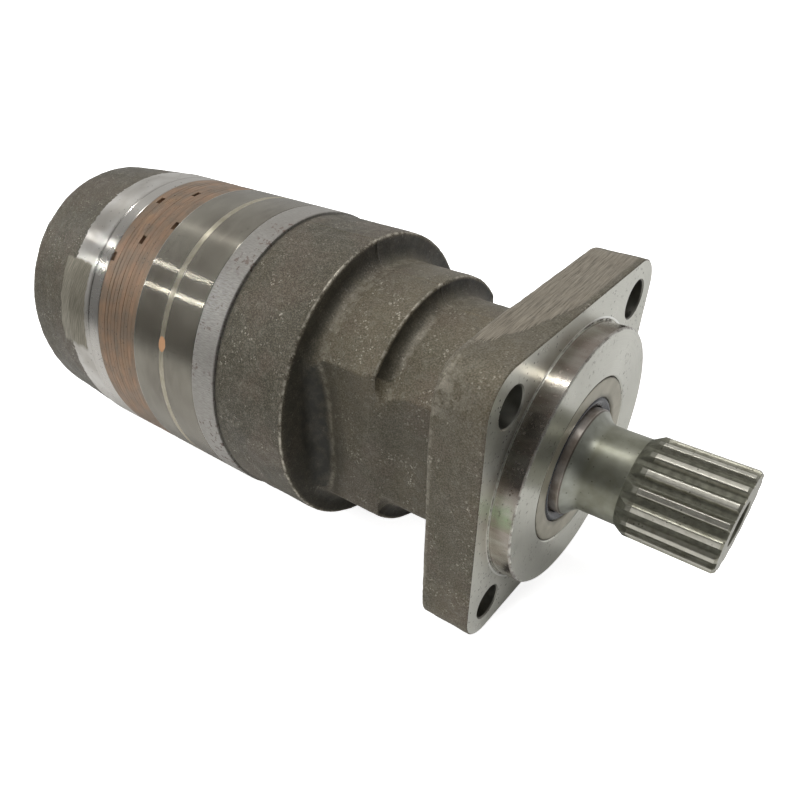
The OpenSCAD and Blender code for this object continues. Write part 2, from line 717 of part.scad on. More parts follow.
module end_cover() {
    front_r = barrel_d / 2;
    back_r = front_r - cover_taper;
    straight = 12;
    face_recess = 3;
    outer_groove = 6;
    spot_r = port_d / 2 + port_spot_rim;
    spot_depth = 0.8;
    drill_r = 5;
    x_port_floor = x_back + port_depth;
    z_port = port_spacing / 2;
    e = cover_edge_r;
    color(cast_grey) difference() {
        turned(concat([[x_cover, 0], [x_cover, front_r - 0.4], [x_cover - 0.4, front_r],
            [x_cover - straight, front_r]], arc(x_back + e, back_r - e, e, 90, 180), [[x_back, 0]]));
        disc(x_cover + cut, x_cover - face_recess, manifold_bore_r);
        ring(x_cover + cut, x_cover - outer_groove, commutator_ring_r, commutator_r);
        ring(x_cover + cut, x_cover - seal_depth, seal_out_r, seal_in_r);
        cover_bolt_holes(x_back, x_cover);
        for (side = [-1, 1]) translate([0, 0, side * z_port]) {
            disc(x_back - cut, x_port_floor, port_d / 2);
            disc(x_back - cut, x_back + spot_depth, spot_r);
        }
        drilling([x_port_floor - 4, -z_port], [x_cover, -manifold_bore_r + drill_r], drill_r);
        drilling([x_port_floor - 4, z_port], [x_cover - outer_groove / 2, (commutator_ring_r + commutator_r) / 2],
            drill_r - 2.2);
    }
}

// The seven hexagon screws that clamp the whole stack to the housing
module cover_bolts() {
    color(dark_steel) around(ROLLERS, 180 / ROLLERS) translate([0, cover_bolt_circle_r, 0]) union() {
        disc(x_back - cut, x_wear + cover_bolt_grip, cover_bolt_d / 2);
        along_x(x_back - bolt_head_h) cylinder(d = bolt_head_af / cos(30), h = bolt_head_h, $fn = 6);
    }
}

// A square-section seal in its groove, from the station where its groove opens
module body_seal(x_open, side) {
    color(rubber) ring(x_open, x_open + side * seal_depth, seal_out_r, seal_in_r);
}
module body_seal_1() { body_seal(x_wear, 1); }
module body_seal_2() { body_seal(x_stator, -1); }
module body_seal_3() { body_seal(x_manifold, 1); }
module body_seal_4() { body_seal(x_ring, -1); }
module body_seal_5() { body_seal(x_cover, -1); }

front_housing();
dust_seal_case();
dust_seal_lip();
front_bearing_shell();
front_bearing_cage();
front_bearing_rollers();
shaft_seal();
backup_washer();
front_thrust_washer();
front_thrust_cage();
front_thrust_rollers();
output_shaft();
inner_bearing_shell();
inner_bearing_cage();
inner_bearing_rollers();
rear_thrust_cage();
rear_thrust_rollers();
rear_thrust_washer();
drive_link();
wear_plate();
stator_ring();
rotor();
stator_roller_1();
stator_roller_2();
stator_roller_3();
stator_roller_4();
stator_roller_5();
stator_roller_6();
stator_roller_7();
manifold_plate_1();
manifold_plate_2();
manifold_plate_3();
manifold_plate_4();
manifold_plate_5();
manifold_plate_6();
manifold_plate_7();
manifold_plate_8();
manifold_plate_9();
manifold_plate_10();
manifold_plate_11();
commutator_ring();
commutator();
commutator_seal();
end_cover();
cover_bolts();
body_seal_1();
body_seal_2();
body_seal_3();
body_seal_4();
body_seal_5();
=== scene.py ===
"""The looks of an orbital hydraulic motor, dressed round its CAD frame. Sizes are in millimetres until a mesh
is made. The motor axis is X, and angles about it are in degrees, counted from +Y towards +Z."""
import json
import math

import bmesh
import bpy
import numpy as np
from mathutils import Matrix, Vector, noise


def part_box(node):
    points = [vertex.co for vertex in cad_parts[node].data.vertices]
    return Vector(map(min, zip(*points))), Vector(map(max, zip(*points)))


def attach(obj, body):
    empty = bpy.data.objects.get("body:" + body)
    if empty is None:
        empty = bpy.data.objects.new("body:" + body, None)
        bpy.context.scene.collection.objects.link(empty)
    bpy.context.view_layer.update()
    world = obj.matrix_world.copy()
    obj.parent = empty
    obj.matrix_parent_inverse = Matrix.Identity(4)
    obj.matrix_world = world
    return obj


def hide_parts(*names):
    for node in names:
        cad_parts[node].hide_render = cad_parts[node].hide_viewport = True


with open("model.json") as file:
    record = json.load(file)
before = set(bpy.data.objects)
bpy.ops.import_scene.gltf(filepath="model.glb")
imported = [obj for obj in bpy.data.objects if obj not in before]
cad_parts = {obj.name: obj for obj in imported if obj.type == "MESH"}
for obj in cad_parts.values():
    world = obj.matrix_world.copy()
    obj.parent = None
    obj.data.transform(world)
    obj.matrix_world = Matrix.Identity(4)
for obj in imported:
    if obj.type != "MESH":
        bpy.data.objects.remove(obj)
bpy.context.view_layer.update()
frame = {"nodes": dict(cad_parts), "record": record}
MM = 0.001
WELD = 0.004 * MM


def span(node):
    """Rear station, front station and outer radius of a CAD node"""
    low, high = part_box(node)
    return low.x / MM, high.x / MM, high.z / MM


# Stations and radii read from the frame
X_STATOR, X_WEAR, BARREL_R = span("wear_plate")
X_MANIFOLD = span("stator_ring")[0]
X_COVER, X_RING, _ = span("commutator_ring")
X_BACK = span("end_cover")[0]
X_PILOT = span("front_housing")[1]
X_DUST_FLOOR, _, DUST_SEAL_R = span("dust_seal_case")
_, X_FRONT_BEARING, FRONT_BEARING_R = span("front_bearing_shell")
_, X_SHAFT_SEAL, SHAFT_SEAL_R = span("shaft_seal")
X_FRONT_WASHER = span("backup_washer")[0]
THRUST_R = span("front_thrust_washer")[2]
_, X_INNER_BEARING, INNER_BEARING_R = span("inner_bearing_shell")
X_SHOULDER = span("front_thrust_rollers")[0] - 0.03
SHAFT_BACK, SHAFT_END, BELL_R = span("output_shaft")
SEAL_OUT_R = span("body_seal_1")[2]
X_BOLT_END = span("cover_bolts")[1]

# The casting: the flange, the two necks with their cast flats, and the barrel
FLANGE_HALF, FLANGE_T, FLANGE_CORNER_R = 59.5, 21.0, 14.6
BOLT_CIRCLE_R, BOLT_HOLE_R = 63.5, 7.15
PILOT_R, PILOT_CHAMFER = 50.8, 0.6
CAST_R = BARREL_R - 0.9
MID_R, MID_FLAT, MID_LEN = 53.0, 41.7, 30.3
FRONT_R, FRONT_FLAT, FRONT_LEN = 45.5, 37.3, 36.0
FLATS_BEND = 16.0
FILLET_R, FLAT_FILLET_R, EDGE_R = 5.0, 8.0, 1.1
X_FRONT_NECK = -FLANGE_T - FRONT_LEN
X_MID_NECK = X_FRONT_NECK - MID_LEN

# The painted highlight line on the flats: its distance from the first shoulder, and how far its ends bend
# back
HIGHLIGHT_LINE, HIGHLIGHT_LINE_BEND = 7.9, 4.6

# The stack: the cover bolts and their holes, the rings' bores, the rollers' pockets, and the brazed plates
ROLLERS = 7
TIE_CIRCLE_R, TIE_HOLE_R, TIE_THREAD_R, TIE_SHANK_R = 48.5, 5.1, 4.79, 4.75
WEAR_BORE_R, ROTOR_BORE_R, PLATE_BORE_R, VALVE_BORE_R = 20.5, 39.4, 15.0, 38.3
ROLLER_CIRCLE_R, POCKET_R = 40.0, 7.65
SEAL_W, SEAL_DEPTH = 3, 2
HEAD_FLATS, HEAD_H = 14.25, 6.4
PLATES, PLATE_GAP = 11, 0.04
KEY_ANGLES, KEY_W = [114, 34, 44, 54, 94, 124, 24, 64, 14, 104, 134], 4.2
BROKEN_EDGE_PLATES = (4, 6, 8, 9)

# The end cover: its corner, and the two ports with their spot faces
COVER_EDGE_R = 5.0
PORT_Z, PORT_R, PORT_DEPTH, SPOT_FACE_R = 21, 10.2, 18, 16.7

# The shaft, its end hole, and the internal spline in its bell that takes the drive link's head
JOURNAL_R, NECK_R, SPLINE_R, ROOT_R = 21.0, 16.8, 19.05, 17.0
SPLINE_TEETH, PITCH_R, X_SPLINE, RUN_OUT = 17, 17.992, 30.0, 3.6
PRESSURE = math.radians(30)
X_CONE, CONE_LEN = X_PILOT + 2, 5.59
RECESS_R, TAPPED_R, TAPPED_DEPTH = 8.4, 4.3, 17.5
X_LINK, HUB_HALF, HUB_MOUTH_R, HUB_RELIEF_R = -72.0, 8, 20.5, 19.3
HUB_TEETH, HUB_TIP_R, HUB_TOOTH_H, HUB_TIP_GAP, HUB_SIDE_GAP = 12, 18.5, 3.0, 0.6, 0.45

# Marks on the stack: a belt-ground patch on the cover, and the stator's light belt and dab of braze
PATCH_X, PATCH_TURN = (-233.5, -212.6), (139.5, 177)
X_BELT, BELT_HALF = -157.1, 1.6
X_DAB, DAB_TURN, DAB_LEN, DAB_W = -156.9, 158.7, 2.1, 3.4


def ease(t):
    """Soft start and end of a rise from 0 to 1"""
    t = np.clip(t, 0, 1)
    return t * t * (3 - 2 * t)


def arc(start, end, count):
    """Angles of a quarter-like sweep, in radians"""
    return np.radians(np.linspace(start, end, count))


def steps(start, end, spacing):
    """Stations between two ends, at about the spacing, without the first"""
    count = max(1, int(round(abs(end - start) / spacing)))
    return np.linspace(start, end, count + 1)[1:]


def spread(count, peaks=(), gain=6.0, width=1.6):
    """Angles about the axis, closer together near each of the peaks, in radians"""
    fine = np.linspace(0, 360, 7201)
    weight = np.ones_like(fine)
    for p in peaks:
        off = (fine - p + 180) % 360 - 180
        weight += gain * np.exp(-(off / width) ** 2)
    total = np.concatenate([[0], np.cumsum((weight[1:] + weight[:-1]) / 2)])
    return np.radians(np.interp(np.arange(count) / count * total[-1], total, fine))


def circle_places(count, radius, first=0.0):
    """The y and z of places spread evenly on a circle about the axis"""
    turns = [math.radians(first + 360 / count * k) for k in range(count)]
    return [(radius * math.cos(a), radius * math.sin(a)) for a in turns]


def finish_mesh(mesh, crease=32):
    """Faces outward, doubles merged, and edges sharper than the crease angle shaded sharp"""
    bm = bmesh.new()
    bm.from_mesh(mesh)
    bmesh.ops.remove_doubles(bm, verts=bm.verts, dist=WELD)
    bmesh.ops.dissolve_degenerate(bm, edges=bm.edges, dist=0.002 * MM)
    if bm.calc_volume(signed=True) < 0:
        bmesh.ops.reverse_faces(bm, faces=bm.faces)
    bm.to_mesh(mesh)
    bm.free()
    mesh.shade_smooth()
    mesh.set_sharp_from_angle(angle=math.radians(crease))


def new_piece(name, mesh):
    """A piece of the scene, at the origin"""
    piece = bpy.data.objects.new(name, mesh)
    bpy.context.scene.collection.objects.link(piece)
    return piece


def skin(name, x, r, theta, loop=True, slots=None, marks=None, crease=32):
    """A closed skin about the axis from the station and radius of each row at each angle. With loop the last
    row joins the first, and otherwise both ends close on the axis. slots gives each row's material, and marks
    are named values of each row, kept as attributes"""
    r = np.asarray(r, float)
    rows, cols = r.shape
    x = np.broadcast_to(np.asarray(x, float).reshape(rows, -1), (rows, cols))
    points = np.stack([x, r * np.cos(theta), r * np.sin(theta)], -1).reshape(-1, 3) * MM
    points = points.tolist()
    last = rows if loop else rows - 1
    i, j = np.meshgrid(np.arange(last), np.arange(cols), indexing="ij")
    i2, j2 = (i + 1) % rows, (j + 1) % cols
    quads = np.stack([i * cols + j, i * cols + j2, i2 * cols + j2, i2 * cols + j], -1)
    faces = quads.reshape(-1, 4).tolist()
    indices = np.repeat(np.zeros(last, int) if slots is None else np.asarray(slots)[:last], cols).tolist()
    ends = [] if loop else [0, rows - 1]
    for row in ends:
        centre = len(points)
        points.append([float(x[row].mean()) * MM, 0, 0])
        for k in range(cols):
            here, after = row * cols + k, row * cols + (k + 1) % cols
            faces.append([after, here, centre] if row == 0 else [here, after, centre])
            indices.append(int(indices[0] if row == 0 else indices[-1]))
    mesh = bpy.data.meshes.new(name)
    mesh.from_pydata(points, [], faces)
    mesh.polygons.foreach_set("material_index", indices)
    for label, values in (marks or {}).items():
        values = np.broadcast_to(np.asarray(values, float).reshape(rows, -1), (rows, cols)).ravel()
        kept = mesh.attributes.new(label, "FLOAT", "POINT")
        kept.data.foreach_set("value", np.concatenate([values, np.zeros(len(ends))]).astype(np.float32))
    finish_mesh(mesh, crease)
    return new_piece(name, mesh)


def turned(name, outline, theta, loop=True, crease=32):
    """A turned piece from its outline of stations and radii"""
    x, r = np.array(outline, float).T
    return skin(name, x, np.repeat(r[:, None], len(theta), 1), theta, loop, crease=crease)


def paint(piece, *finishes):
    """Gives a piece its finishes, in the order of the numbers that its rows carry"""
    for finish in finishes:
        piece.data.materials.append(finish)


def moved(piece, y, z):
    """Shifts a piece's mesh off the axis"""
    piece.data.transform(Matrix.Translation((0, y * MM, z * MM)))
    return piece


def rod(x0, x1, radius, y=0.0, z=0.0, sides=48):
    """A plain round cutter along the axis"""
    return moved(turned("cutter", [[x0, radius], [x1, radius]], spread(sides), loop=False), y, z)


def join(pieces, name):
    """One mesh from several, which are removed"""
    bm = bmesh.new()
    mesh = bpy.data.meshes.new(name)
    for m in pieces[0].data.materials:
        mesh.materials.append(m)
    for p in pieces:
        bm.from_mesh(p.data)
        bpy.data.objects.remove(p)
    bm.to_mesh(mesh)
    bm.free()
    return new_piece(name, mesh)


def applied(piece, crease=32):
    """Turns a piece with its modifiers into a plain mesh"""
    bpy.context.view_layer.update()
    seen = piece.evaluated_get(bpy.context.evaluated_depsgraph_get())
    mesh = bpy.data.meshes.new_from_object(seen)
    piece.modifiers.clear()
    piece.data = mesh
    mesh.name = piece.name
    mesh.shade_smooth()
    mesh.set_sharp_from_angle(angle=math.radians(crease))


def cut_away(piece, cutters, crease=32):
    """Takes the cutters out of a piece. Their faces keep the cutters' material"""
    tool = join(cutters, piece.name + "_cutter") if len(cutters) > 1 else cutters[0]
    change = piece.modifiers.new("cut", "BOOLEAN")
    change.material_mode = "TRANSFER"
    change.operation = "DIFFERENCE"
    change.solver = "MANIFOLD"
    change.object = tool
    applied(piece, crease)
    bpy.data.objects.remove(tool)


def add_node(tree, kind, inputs=None, **settings):
    """One node of a tree. An input is a value or the socket that feeds it, and None leaves it alone"""
    node = tree.nodes.new(kind)
    for key, value in settings.items():
        setattr(node, key, value)
    for key, value in (inputs or {}).items():
        if isinstance(value, bpy.types.NodeSocket):
            tree.links.new(value, node.inputs[key])
        elif value is not None:
            node.inputs[key].default_value = value
    return node


def around_axis(name, unit, count, first, weld, material):
    """Repeats a unit evenly about the motor axis with a small node tree, and returns one plain mesh"""
    tree = bpy.data.node_groups.new("around_the_axis", "GeometryNodeTree")
    tree.interface.new_socket("Geometry", in_out="OUTPUT", socket_type="NodeSocketGeometry")
    given = {"Unit": ("Object", unit), "Count": ("Int", count), "First angle": ("Float", math.radians(first)),
             "Finish": ("Material", material)}
    sockets = {}
    for label, (kind, _) in given.items():
        socket = tree.interface.new_socket(label, in_out="INPUT", socket_type="NodeSocket" + kind)
        sockets[label] = socket.identifier
    entry = add_node(tree, "NodeGroupInput").outputs
    info = add_node(tree, "GeometryNodeObjectInfo", {"Object": entry["Unit"]})
    points = add_node(tree, "GeometryNodePoints", {"Count": entry["Count"]})
    index = add_node(tree, "GeometryNodeInputIndex")
    step = add_node(tree, "ShaderNodeMath", {0: math.tau, 1: entry["Count"]}, operation="DIVIDE")
    turn = add_node(tree, "ShaderNodeMath", {
        0: index.outputs[0], 1: step.outputs[0], 2: entry["First angle"]}, operation="MULTIPLY_ADD")
    spin = add_node(tree, "ShaderNodeCombineXYZ", {"X": turn.outputs[0]})
    place = add_node(tree, "GeometryNodeInstanceOnPoints", {
        "Points": points.outputs[0], "Instance": info.outputs["Geometry"], "Rotation": spin.outputs[0]})
    made = add_node(tree, "GeometryNodeRealizeInstances", {0: place.outputs[0]})
    if weld:
        made = add_node(tree, "GeometryNodeMergeByDistance", {0: made.outputs[0], "Distance": WELD})
    paint = add_node(tree, "GeometryNodeSetMaterial", {0: made.outputs[0], "Material": entry["Finish"]})
    add_node(tree, "NodeGroupOutput", {0: paint.outputs[0]})
    host = new_piece(name, bpy.data.meshes.new(name))
    change = host.modifiers.new("repeat", "NODES")
    change.node_group = tree
    for label, (_, value) in given.items():
        change[sockets[label]] = value
    applied(host)
    bpy.data.objects.remove(unit)
    return host


class Finish:
    """A procedural material, with short calls for its nodes. place, x, y, z and radius are in metres, and
    angle is in radians. color is what the coats have made so far"""

    def __init__(self, name):
        self.material = bpy.data.materials.new(name)
        self.material.use_nodes = True
        self.tree = self.material.node_tree
        self.shader = self.tree.nodes["Principled BSDF"]
        self.place = self.add("ShaderNodeTexCoord").outputs["Object"]
        self.x, self.y, self.z = self.add("ShaderNodeSeparateXYZ", {0: self.place}).outputs
        self.radius = self.math("SQRT", self.plus(self.times(self.y, self.y), self.times(self.z, self.z)))
        self.angle = self.math("ARCTAN2", self.z, self.y)

    def add(self, kind, inputs=None, **settings):
        return add_node(self.tree, kind, inputs, **settings)

    def math(self, operation, a, b=None, c=None):
        return self.add("ShaderNodeMath", {0: a, 1: b, 2: c}, operation=operation).outputs[0]

    def times(self, first, *others):
        """The values multiplied together"""
        for other in others:
            first = self.math("MULTIPLY", first, other)
        return first

    def plus(self, a, b):
        return self.math("ADD", a, b)

    def minus(self, a, b):
        return self.math("SUBTRACT", a, b)

    def either(self, a, b):
        """The larger of two shares"""
        return self.math("MAXIMUM", a, b)

    def off(self, value, middle):
        """How far a value lies from a middle, on either side"""
        return self.math("ABSOLUTE", self.minus(value, middle))

    def ragged(self, value, wave, reach):
        """A value with a wave added to it, as large as the reach"""
        return self.math("MULTIPLY_ADD", wave, reach, value)

    def noise(self, size, detail=2.0, rough=0.5, place=None):
        """Cloudy noise with features of about the size given, in millimetres"""
        return self.add("ShaderNodeTexNoise", {"Vector": place or self.place, "Scale": 1 / (size * MM),
                                               "Detail": detail, "Roughness": rough}).outputs[0]

    def drawn(self, size, along, around, detail=3.0, rough=0.5):
        """Noise over two lengths, which draws it out into lines or strokes"""
        place = self.add("ShaderNodeCombineXYZ", {0: along, 1: around}).outputs[0]
        return self.noise(size, detail, rough, place)

    def cells(self, size, output="Distance"):
        cell = self.add("ShaderNodeTexVoronoi", {"Vector": self.place, "Scale": 1 / (size * MM)})
        return cell.outputs[output]

    def scale(self, value, low, high, to_low=0.0, to_high=1.0, smooth=False):
        return self.add("ShaderNodeMapRange", {"Value": value, "From Min": low, "From Max": high,
                                               "To Min": to_low, "To Max": to_high},
                        interpolation_type="SMOOTHSTEP" if smooth else "LINEAR").outputs[0]

    def rise(self, length, start, end, low=0.0, high=1.0):
        """From low to high along a stretch whose start and end are in millimetres"""
        return self.scale(length, start * MM, end * MM, low, high)

    def sweep(self, angle, start, end):
        """From 0 to 1 over a turn whose start and end are in degrees"""
        return self.scale(angle, math.radians(start), math.radians(end))

    def cloud(self, size, detail, low, high, to_low=0.0, to_high=1.0, rough=0.5):
        """Soft patches: cloudy noise between low and high, stretched to the two ends"""
        return self.scale(self.noise(size, detail, rough), low, high, to_low, to_high)

    def mix(self, share, a, b):
        """Colours a and b mixed by the share of b"""
        a, b = ((*v, 1.0) if isinstance(v, tuple) else v for v in (a, b))
        return self.add("ShaderNodeMix", {0: share, 6: a, 7: b}, data_type="RGBA").outputs[2]

    def blend(self, share, a, b):
        """Numbers a and b mixed by the share of b"""
        return self.add("ShaderNodeMix", {0: share, 2: a, 3: b}, data_type="FLOAT").outputs[0]

    def coat(self, share, color):
        """Lays a colour over the finish so far, by its share"""
        self.color = self.mix(share, self.color, color)

    def mark(self, name):
        return self.add("ShaderNodeAttribute", attribute_name=name).outputs["Fac"]

    def bump(self, height, depth, strength):
        return self.add("ShaderNodeBump", {"Height": height, "Distance": depth * MM,
                                           "Strength": strength}).outputs[0]

    def set(self, **values):
        """Sets or feeds the shader's inputs. grain draws the shine out round the motor axis"""
        names = {"color": "Base Color", "rough": "Roughness", "metal": "Metallic", "normal": "Normal",
                 "grain": "Anisotropic", "turn": "Anisotropic Rotation", "tangent": "Tangent",
                 "specular": "Specular IOR Level", "glow": "Emission Strength",
                 "glow_color": "Emission Color"}
        if "grain" in values:
            round_axis = self.add("ShaderNodeTangent", direction_type="RADIAL", axis="X").outputs[0]
            values.update(turn=0.25, tangent=round_axis)
        for key, value in {"color": self.color, **values}.items():
            socket = self.shader.inputs[names[key]]
            if isinstance(value, bpy.types.NodeSocket):
                self.tree.links.new(value, socket)
            else:
                socket.default_value = (*value, 1.0) if isinstance(value, tuple) else value
        return self.material

    def lathe_lines(self, size=0.09):
        """Height of the fine circular lines that a lathe or grinder leaves"""
        along = self.plus(self.x, self.times(self.radius, 0.73))
        return self.drawn(size, along, self.times(self.angle, 0.00004), rough=0.6)

    def edge_highlight(self, x, width):
        """A painted highlight along the rear edge of a ring at a station, fainter in places"""
        line = self.rise(self.x, x + width, x + 0.6 * width)
        return self.times(line, self.cloud(12, 3, 0.35, 0.6, 0.25, 0.9))

    def chance(self, size, channel):
        """A random number for each cell"""
        return self.add("ShaderNodeSeparateColor", {0: self.cells(size, "Color")}).outputs[channel]

    def specks(self, size, share):
        """Small dark pits: 1 inside a speck. share is how many of the cells hold one"""
        held = self.math("LESS_THAN", self.chance(size, 0), share)
        return self.times(held, self.scale(self.cells(size), 0.12, 0.3, 1.0, 0.0))

    def pits(self, size, share, group=14, low=0.42, high=0.6):
        """Specks that lie in groups"""
        return self.times(self.specks(size, share), self.cloud(group, 2, low, high))


def cast_base(f):
    """Coats of sand-cast iron, oily olive grey and grainy, with edges scuffed bright and painted highlights
    where the rows are marked, and dirt and painted shade in recesses and on faces turned from the light.
    Returns its metal share, roughness and height"""
    patch, grain = f.noise(7, 3), f.noise(0.55, 2)
    f.color = f.mix(f.cloud(38, 3, 0.38, 0.64), (0.09, 0.08, 0.053), (0.133, 0.111, 0.073))
    f.coat(f.scale(patch, 0.35, 0.7, 0.0, 0.55), (0.103, 0.088, 0.063))
    f.coat(f.rise(f.x, X_MID_NECK + 2, X_MID_NECK - 1, 0.0, 0.52), (0.04, 0.038, 0.03))
    f.coat(f.cloud(24, 4, 0.5, 0.6, 0.0, 0.5), (0.108, 0.083, 0.062))
    f.coat(f.cloud(3.2, 4, 0.5, 0.66, 0.0, 0.35, 0.65), (0.19, 0.178, 0.14))
    f.coat(f.scale(grain, 0.47, 0.72, 0.0, 0.55), (0.262, 0.233, 0.178))
    f.coat(f.scale(grain, 0.45, 0.25, 0.0, 0.6), (0.028, 0.026, 0.02))
    # Light flecks painted as glints, real scrapes, and scuffs with painted highlights where the rows are
    # marked, all in one light colour
    glint = f.times(f.math("GREATER_THAN", f.chance(0.6, 1), 0.93), f.cloud(8, 3, 0.5, 0.72))
    scrape = f.times(f.cloud(1.5, 5, 0.6, 0.68, rough=0.8), f.cloud(17, 2, 0.48, 0.6))
    scuffs_and_highlights = f.times(f.mark("worn"), f.cloud(3.4, 4, 0.43, 0.6, rough=0.7))
    scuffs_and_highlights = f.either(scuffs_and_highlights, f.times(f.either(glint, scrape), 0.75))
    f.coat(scuffs_and_highlights, (0.56, 0.52, 0.43))
    # Dirt, and painted shade on faces turned from the light, in fillets and on the flats, where the rows are
    # marked
    f.coat(f.times(f.mark("hollow"), f.cloud(4, 2, 0.3, 0.6, 0.65, 0.95)), (0.03, 0.029, 0.023))
    height = f.plus(f.times(f.noise(1.6, 3), 0.8), f.times(grain, 0.5))
    return f.blend(scuffs_and_highlights, 0.3, 0.9), f.blend(scuffs_and_highlights, f.scale(patch, 0.3, 0.7, 0.6, 0.46), 0.36), height


def cast_iron():
    """Cast iron with the flange's top ground by hand: bright strokes, ragged towards the front left"""
    f = Finish("cast_iron")
    metal, rough, height = cast_base(f)
    strokes = f.drawn(0.6, f.plus(f.x, f.times(f.y, 0.05)), f.times(f.y, 0.045), 4, 0.7)
    t = f.plus(f.x, 20.2 * MM)
    edge = f.plus(f.times(t, t, 0.143 / MM), f.times(t, -0.332))
    left = f.ragged(f.minus(f.y, edge), f.minus(strokes, 0.5), 22 * MM)
    right = f.ragged(f.ragged(f.y, f.x, -0.35), strokes, 14 * MM)
    ground = f.times(f.rise(left, -38.8, -37.4), f.rise(f.ragged(f.x, strokes, 5 * MM), 0.6, -0.2),
                     f.rise(f.z, FLANGE_HALF - 0.35, FLANGE_HALF - 0.1),
                     f.rise(right, FLANGE_HALF + 8, FLANGE_HALF + 6.6),
                     f.scale(f.plus(strokes, f.times(f.noise(9, 2), 0.4)), 0.5, 0.66, 0.35, 1.0))
    f.coat(ground, f.mix(f.scale(strokes, 0.35, 0.65), (0.19, 0.165, 0.125), (0.42, 0.37, 0.29)))
    return f.set(metal=f.blend(ground, metal, 0.85), rough=f.blend(ground, rough, 0.4),
                 normal=f.bump(f.blend(ground, height, f.times(strokes, 0.35)), 0.16, 0.9))


def cover_iron():
    """The end cover's iron: turned bright near its front, belt-ground over a patch, and cast behind"""
    f = Finish("cover_iron")
    metal, rough, height = cast_base(f)
    band = f.rise(f.ragged(f.x, f.noise(2.2, 4, 0.7), 5 * MM), X_COVER - 14.4, X_COVER - 13.9)
    shine = f.mix(f.cloud(14, 3, 0.35, 0.65), (0.66, 0.64, 0.6), (0.5, 0.475, 0.43))
    shine = f.mix(f.times(f.specks(1.4, 0.12), 0.8), shine, (0.06, 0.05, 0.04))
    wobble = f.times(f.minus(f.noise(4, 3), 0.5), 2.5 * MM)
    at = f.plus(f.x, wobble)
    turn = f.plus(f.angle, f.times(wobble, 18))
    (back, front), (start, end) = PATCH_X, PATCH_TURN
    patch = f.times(f.rise(at, back, back + 0.7), f.rise(at, front, front - 0.8),
                    f.times(f.sweep(turn, start, start + 1), f.sweep(turn, end, end - 2)))
    strokes = f.drawn(0.45, f.ragged(f.x, f.angle, 0.02), f.times(f.angle, 0.0035), 4, 0.65)
    f.coat(band, shine)
    f.coat(patch, f.mix(f.scale(strokes, 0.38, 0.62), (0.17, 0.155, 0.118), (0.34, 0.315, 0.25)))
    metal = f.blend(patch, f.blend(band, metal, 0.85), 0.6)
    rough = f.blend(patch, f.blend(band, rough, 0.36), 0.45)
    height = f.blend(band, height, f.times(f.lathe_lines(0.12), 0.04))
    height = f.blend(patch, height, f.times(strokes, 0.15))
    return f.set(metal=metal, rough=rough, grain=f.times(band, 0.9), normal=f.bump(height, 0.16, 0.9))


def pilot_rust(f, pit, gloss):
    """Adds rust in spots, rust and painted shade in the pilot's corner, painted highlights where the rows are
    marked, and the brown, oily side of the pilot
    """
    spot = f.times(f.cloud(2.2, 4, 0.58, 0.68, rough=0.7), f.cloud(20, 2, 0.46, 0.58), 0.6)
    spot = f.either(spot, f.times(f.mark("hollow"), f.cloud(4.5, 4, 0.45, 0.6, rough=0.7)))
    side = f.times(f.rise(f.radius, PILOT_R - 0.5, PILOT_R - 0.2), f.rise(f.x, 0.1, 0.4))
    streak = f.drawn(9, f.times(f.x, 0.3), f.times(f.angle, 0.05), rough=0.6)
    f.coat(f.times(side, f.scale(streak, 0.35, 0.6, 0.35, 0.8)), (0.26, 0.2, 0.165))
    oil = f.times(f.sweep(f.off(f.angle, math.radians(173)), 9, 1), f.cloud(5, 2, 0.35, 0.6))
    f.coat(f.times(side, oil, 0.6), (0.3, 0.45, 0.24))
    # Painted highlights: the bright lines along the groove's edge and the pilot's front edge
    f.coat(f.mark("worn"), (0.9, 0.9, 0.85))
    f.coat(spot, (0.085, 0.052, 0.038))
    return f.either(pit, spot), f.blend(side, gloss, 0.22)


def turned_steel(name, tone, rough, grain, share=0.06, rusty=False):
    """Turned or ground steel: circular lines, a soft film of oil, and pits in a share of its cells"""
    f = Finish(name)
    lines = f.lathe_lines()
    f.color = f.mix(f.cloud(26, 3, 0.35, 0.65, 0.0, 0.5), tone, tuple(v * 0.78 for v in tone))
    f.coat(f.scale(lines, 0.4, 0.65, 0.0, 0.3), tuple(min(1, v * 1.25) for v in tone))
    pit = f.pits(1.6, share)
    f.coat(f.times(pit, 0.9), (0.028, 0.02, 0.015))
    gloss = f.cloud(11, 3, 0.3, 0.7, rough - 0.03, rough + 0.03)
    if rusty:
        pit, gloss = pilot_rust(f, pit, gloss)
    return f.set(metal=f.blend(pit, 1.0, 0.65), rough=f.blend(pit, gloss, 0.7), grain=grain,
                 normal=f.bump(lines, 0.006, 0.5))


def ground_wear_plate():
    """The dull ground wear plate: fine scratches along the axis, rust specks in groups, and a painted
    highlight along its rear edge
    """
    f = Finish("ground_wear_plate")
    scratch = f.drawn(0.35, f.times(f.x, 0.12), f.times(f.angle, 0.064))
    f.color = f.mix(f.scale(scratch, 0.38, 0.62), (0.48, 0.465, 0.435), (0.33, 0.315, 0.285))
    f.coat(f.cloud(24, 3, 0.4, 0.62, 0.0, 0.5), (0.31, 0.29, 0.26))
    spot = f.times(f.cloud(2.2, 4, 0.57, 0.62, rough=0.6), f.cloud(15, 2, 0.5, 0.58))
    spot = f.either(spot, f.pits(1.3, 0.16, 10, 0.4))
    f.coat(f.times(spot, 0.8), (0.105, 0.065, 0.052))
    f.coat(f.edge_highlight(X_STATOR, 0.5), (0.85, 0.83, 0.8))
    return f.set(metal=f.blend(spot, 0.75, 0.1), rough=f.blend(spot, 0.5, 0.8),
                 normal=f.bump(scratch, 0.01, 0.6))


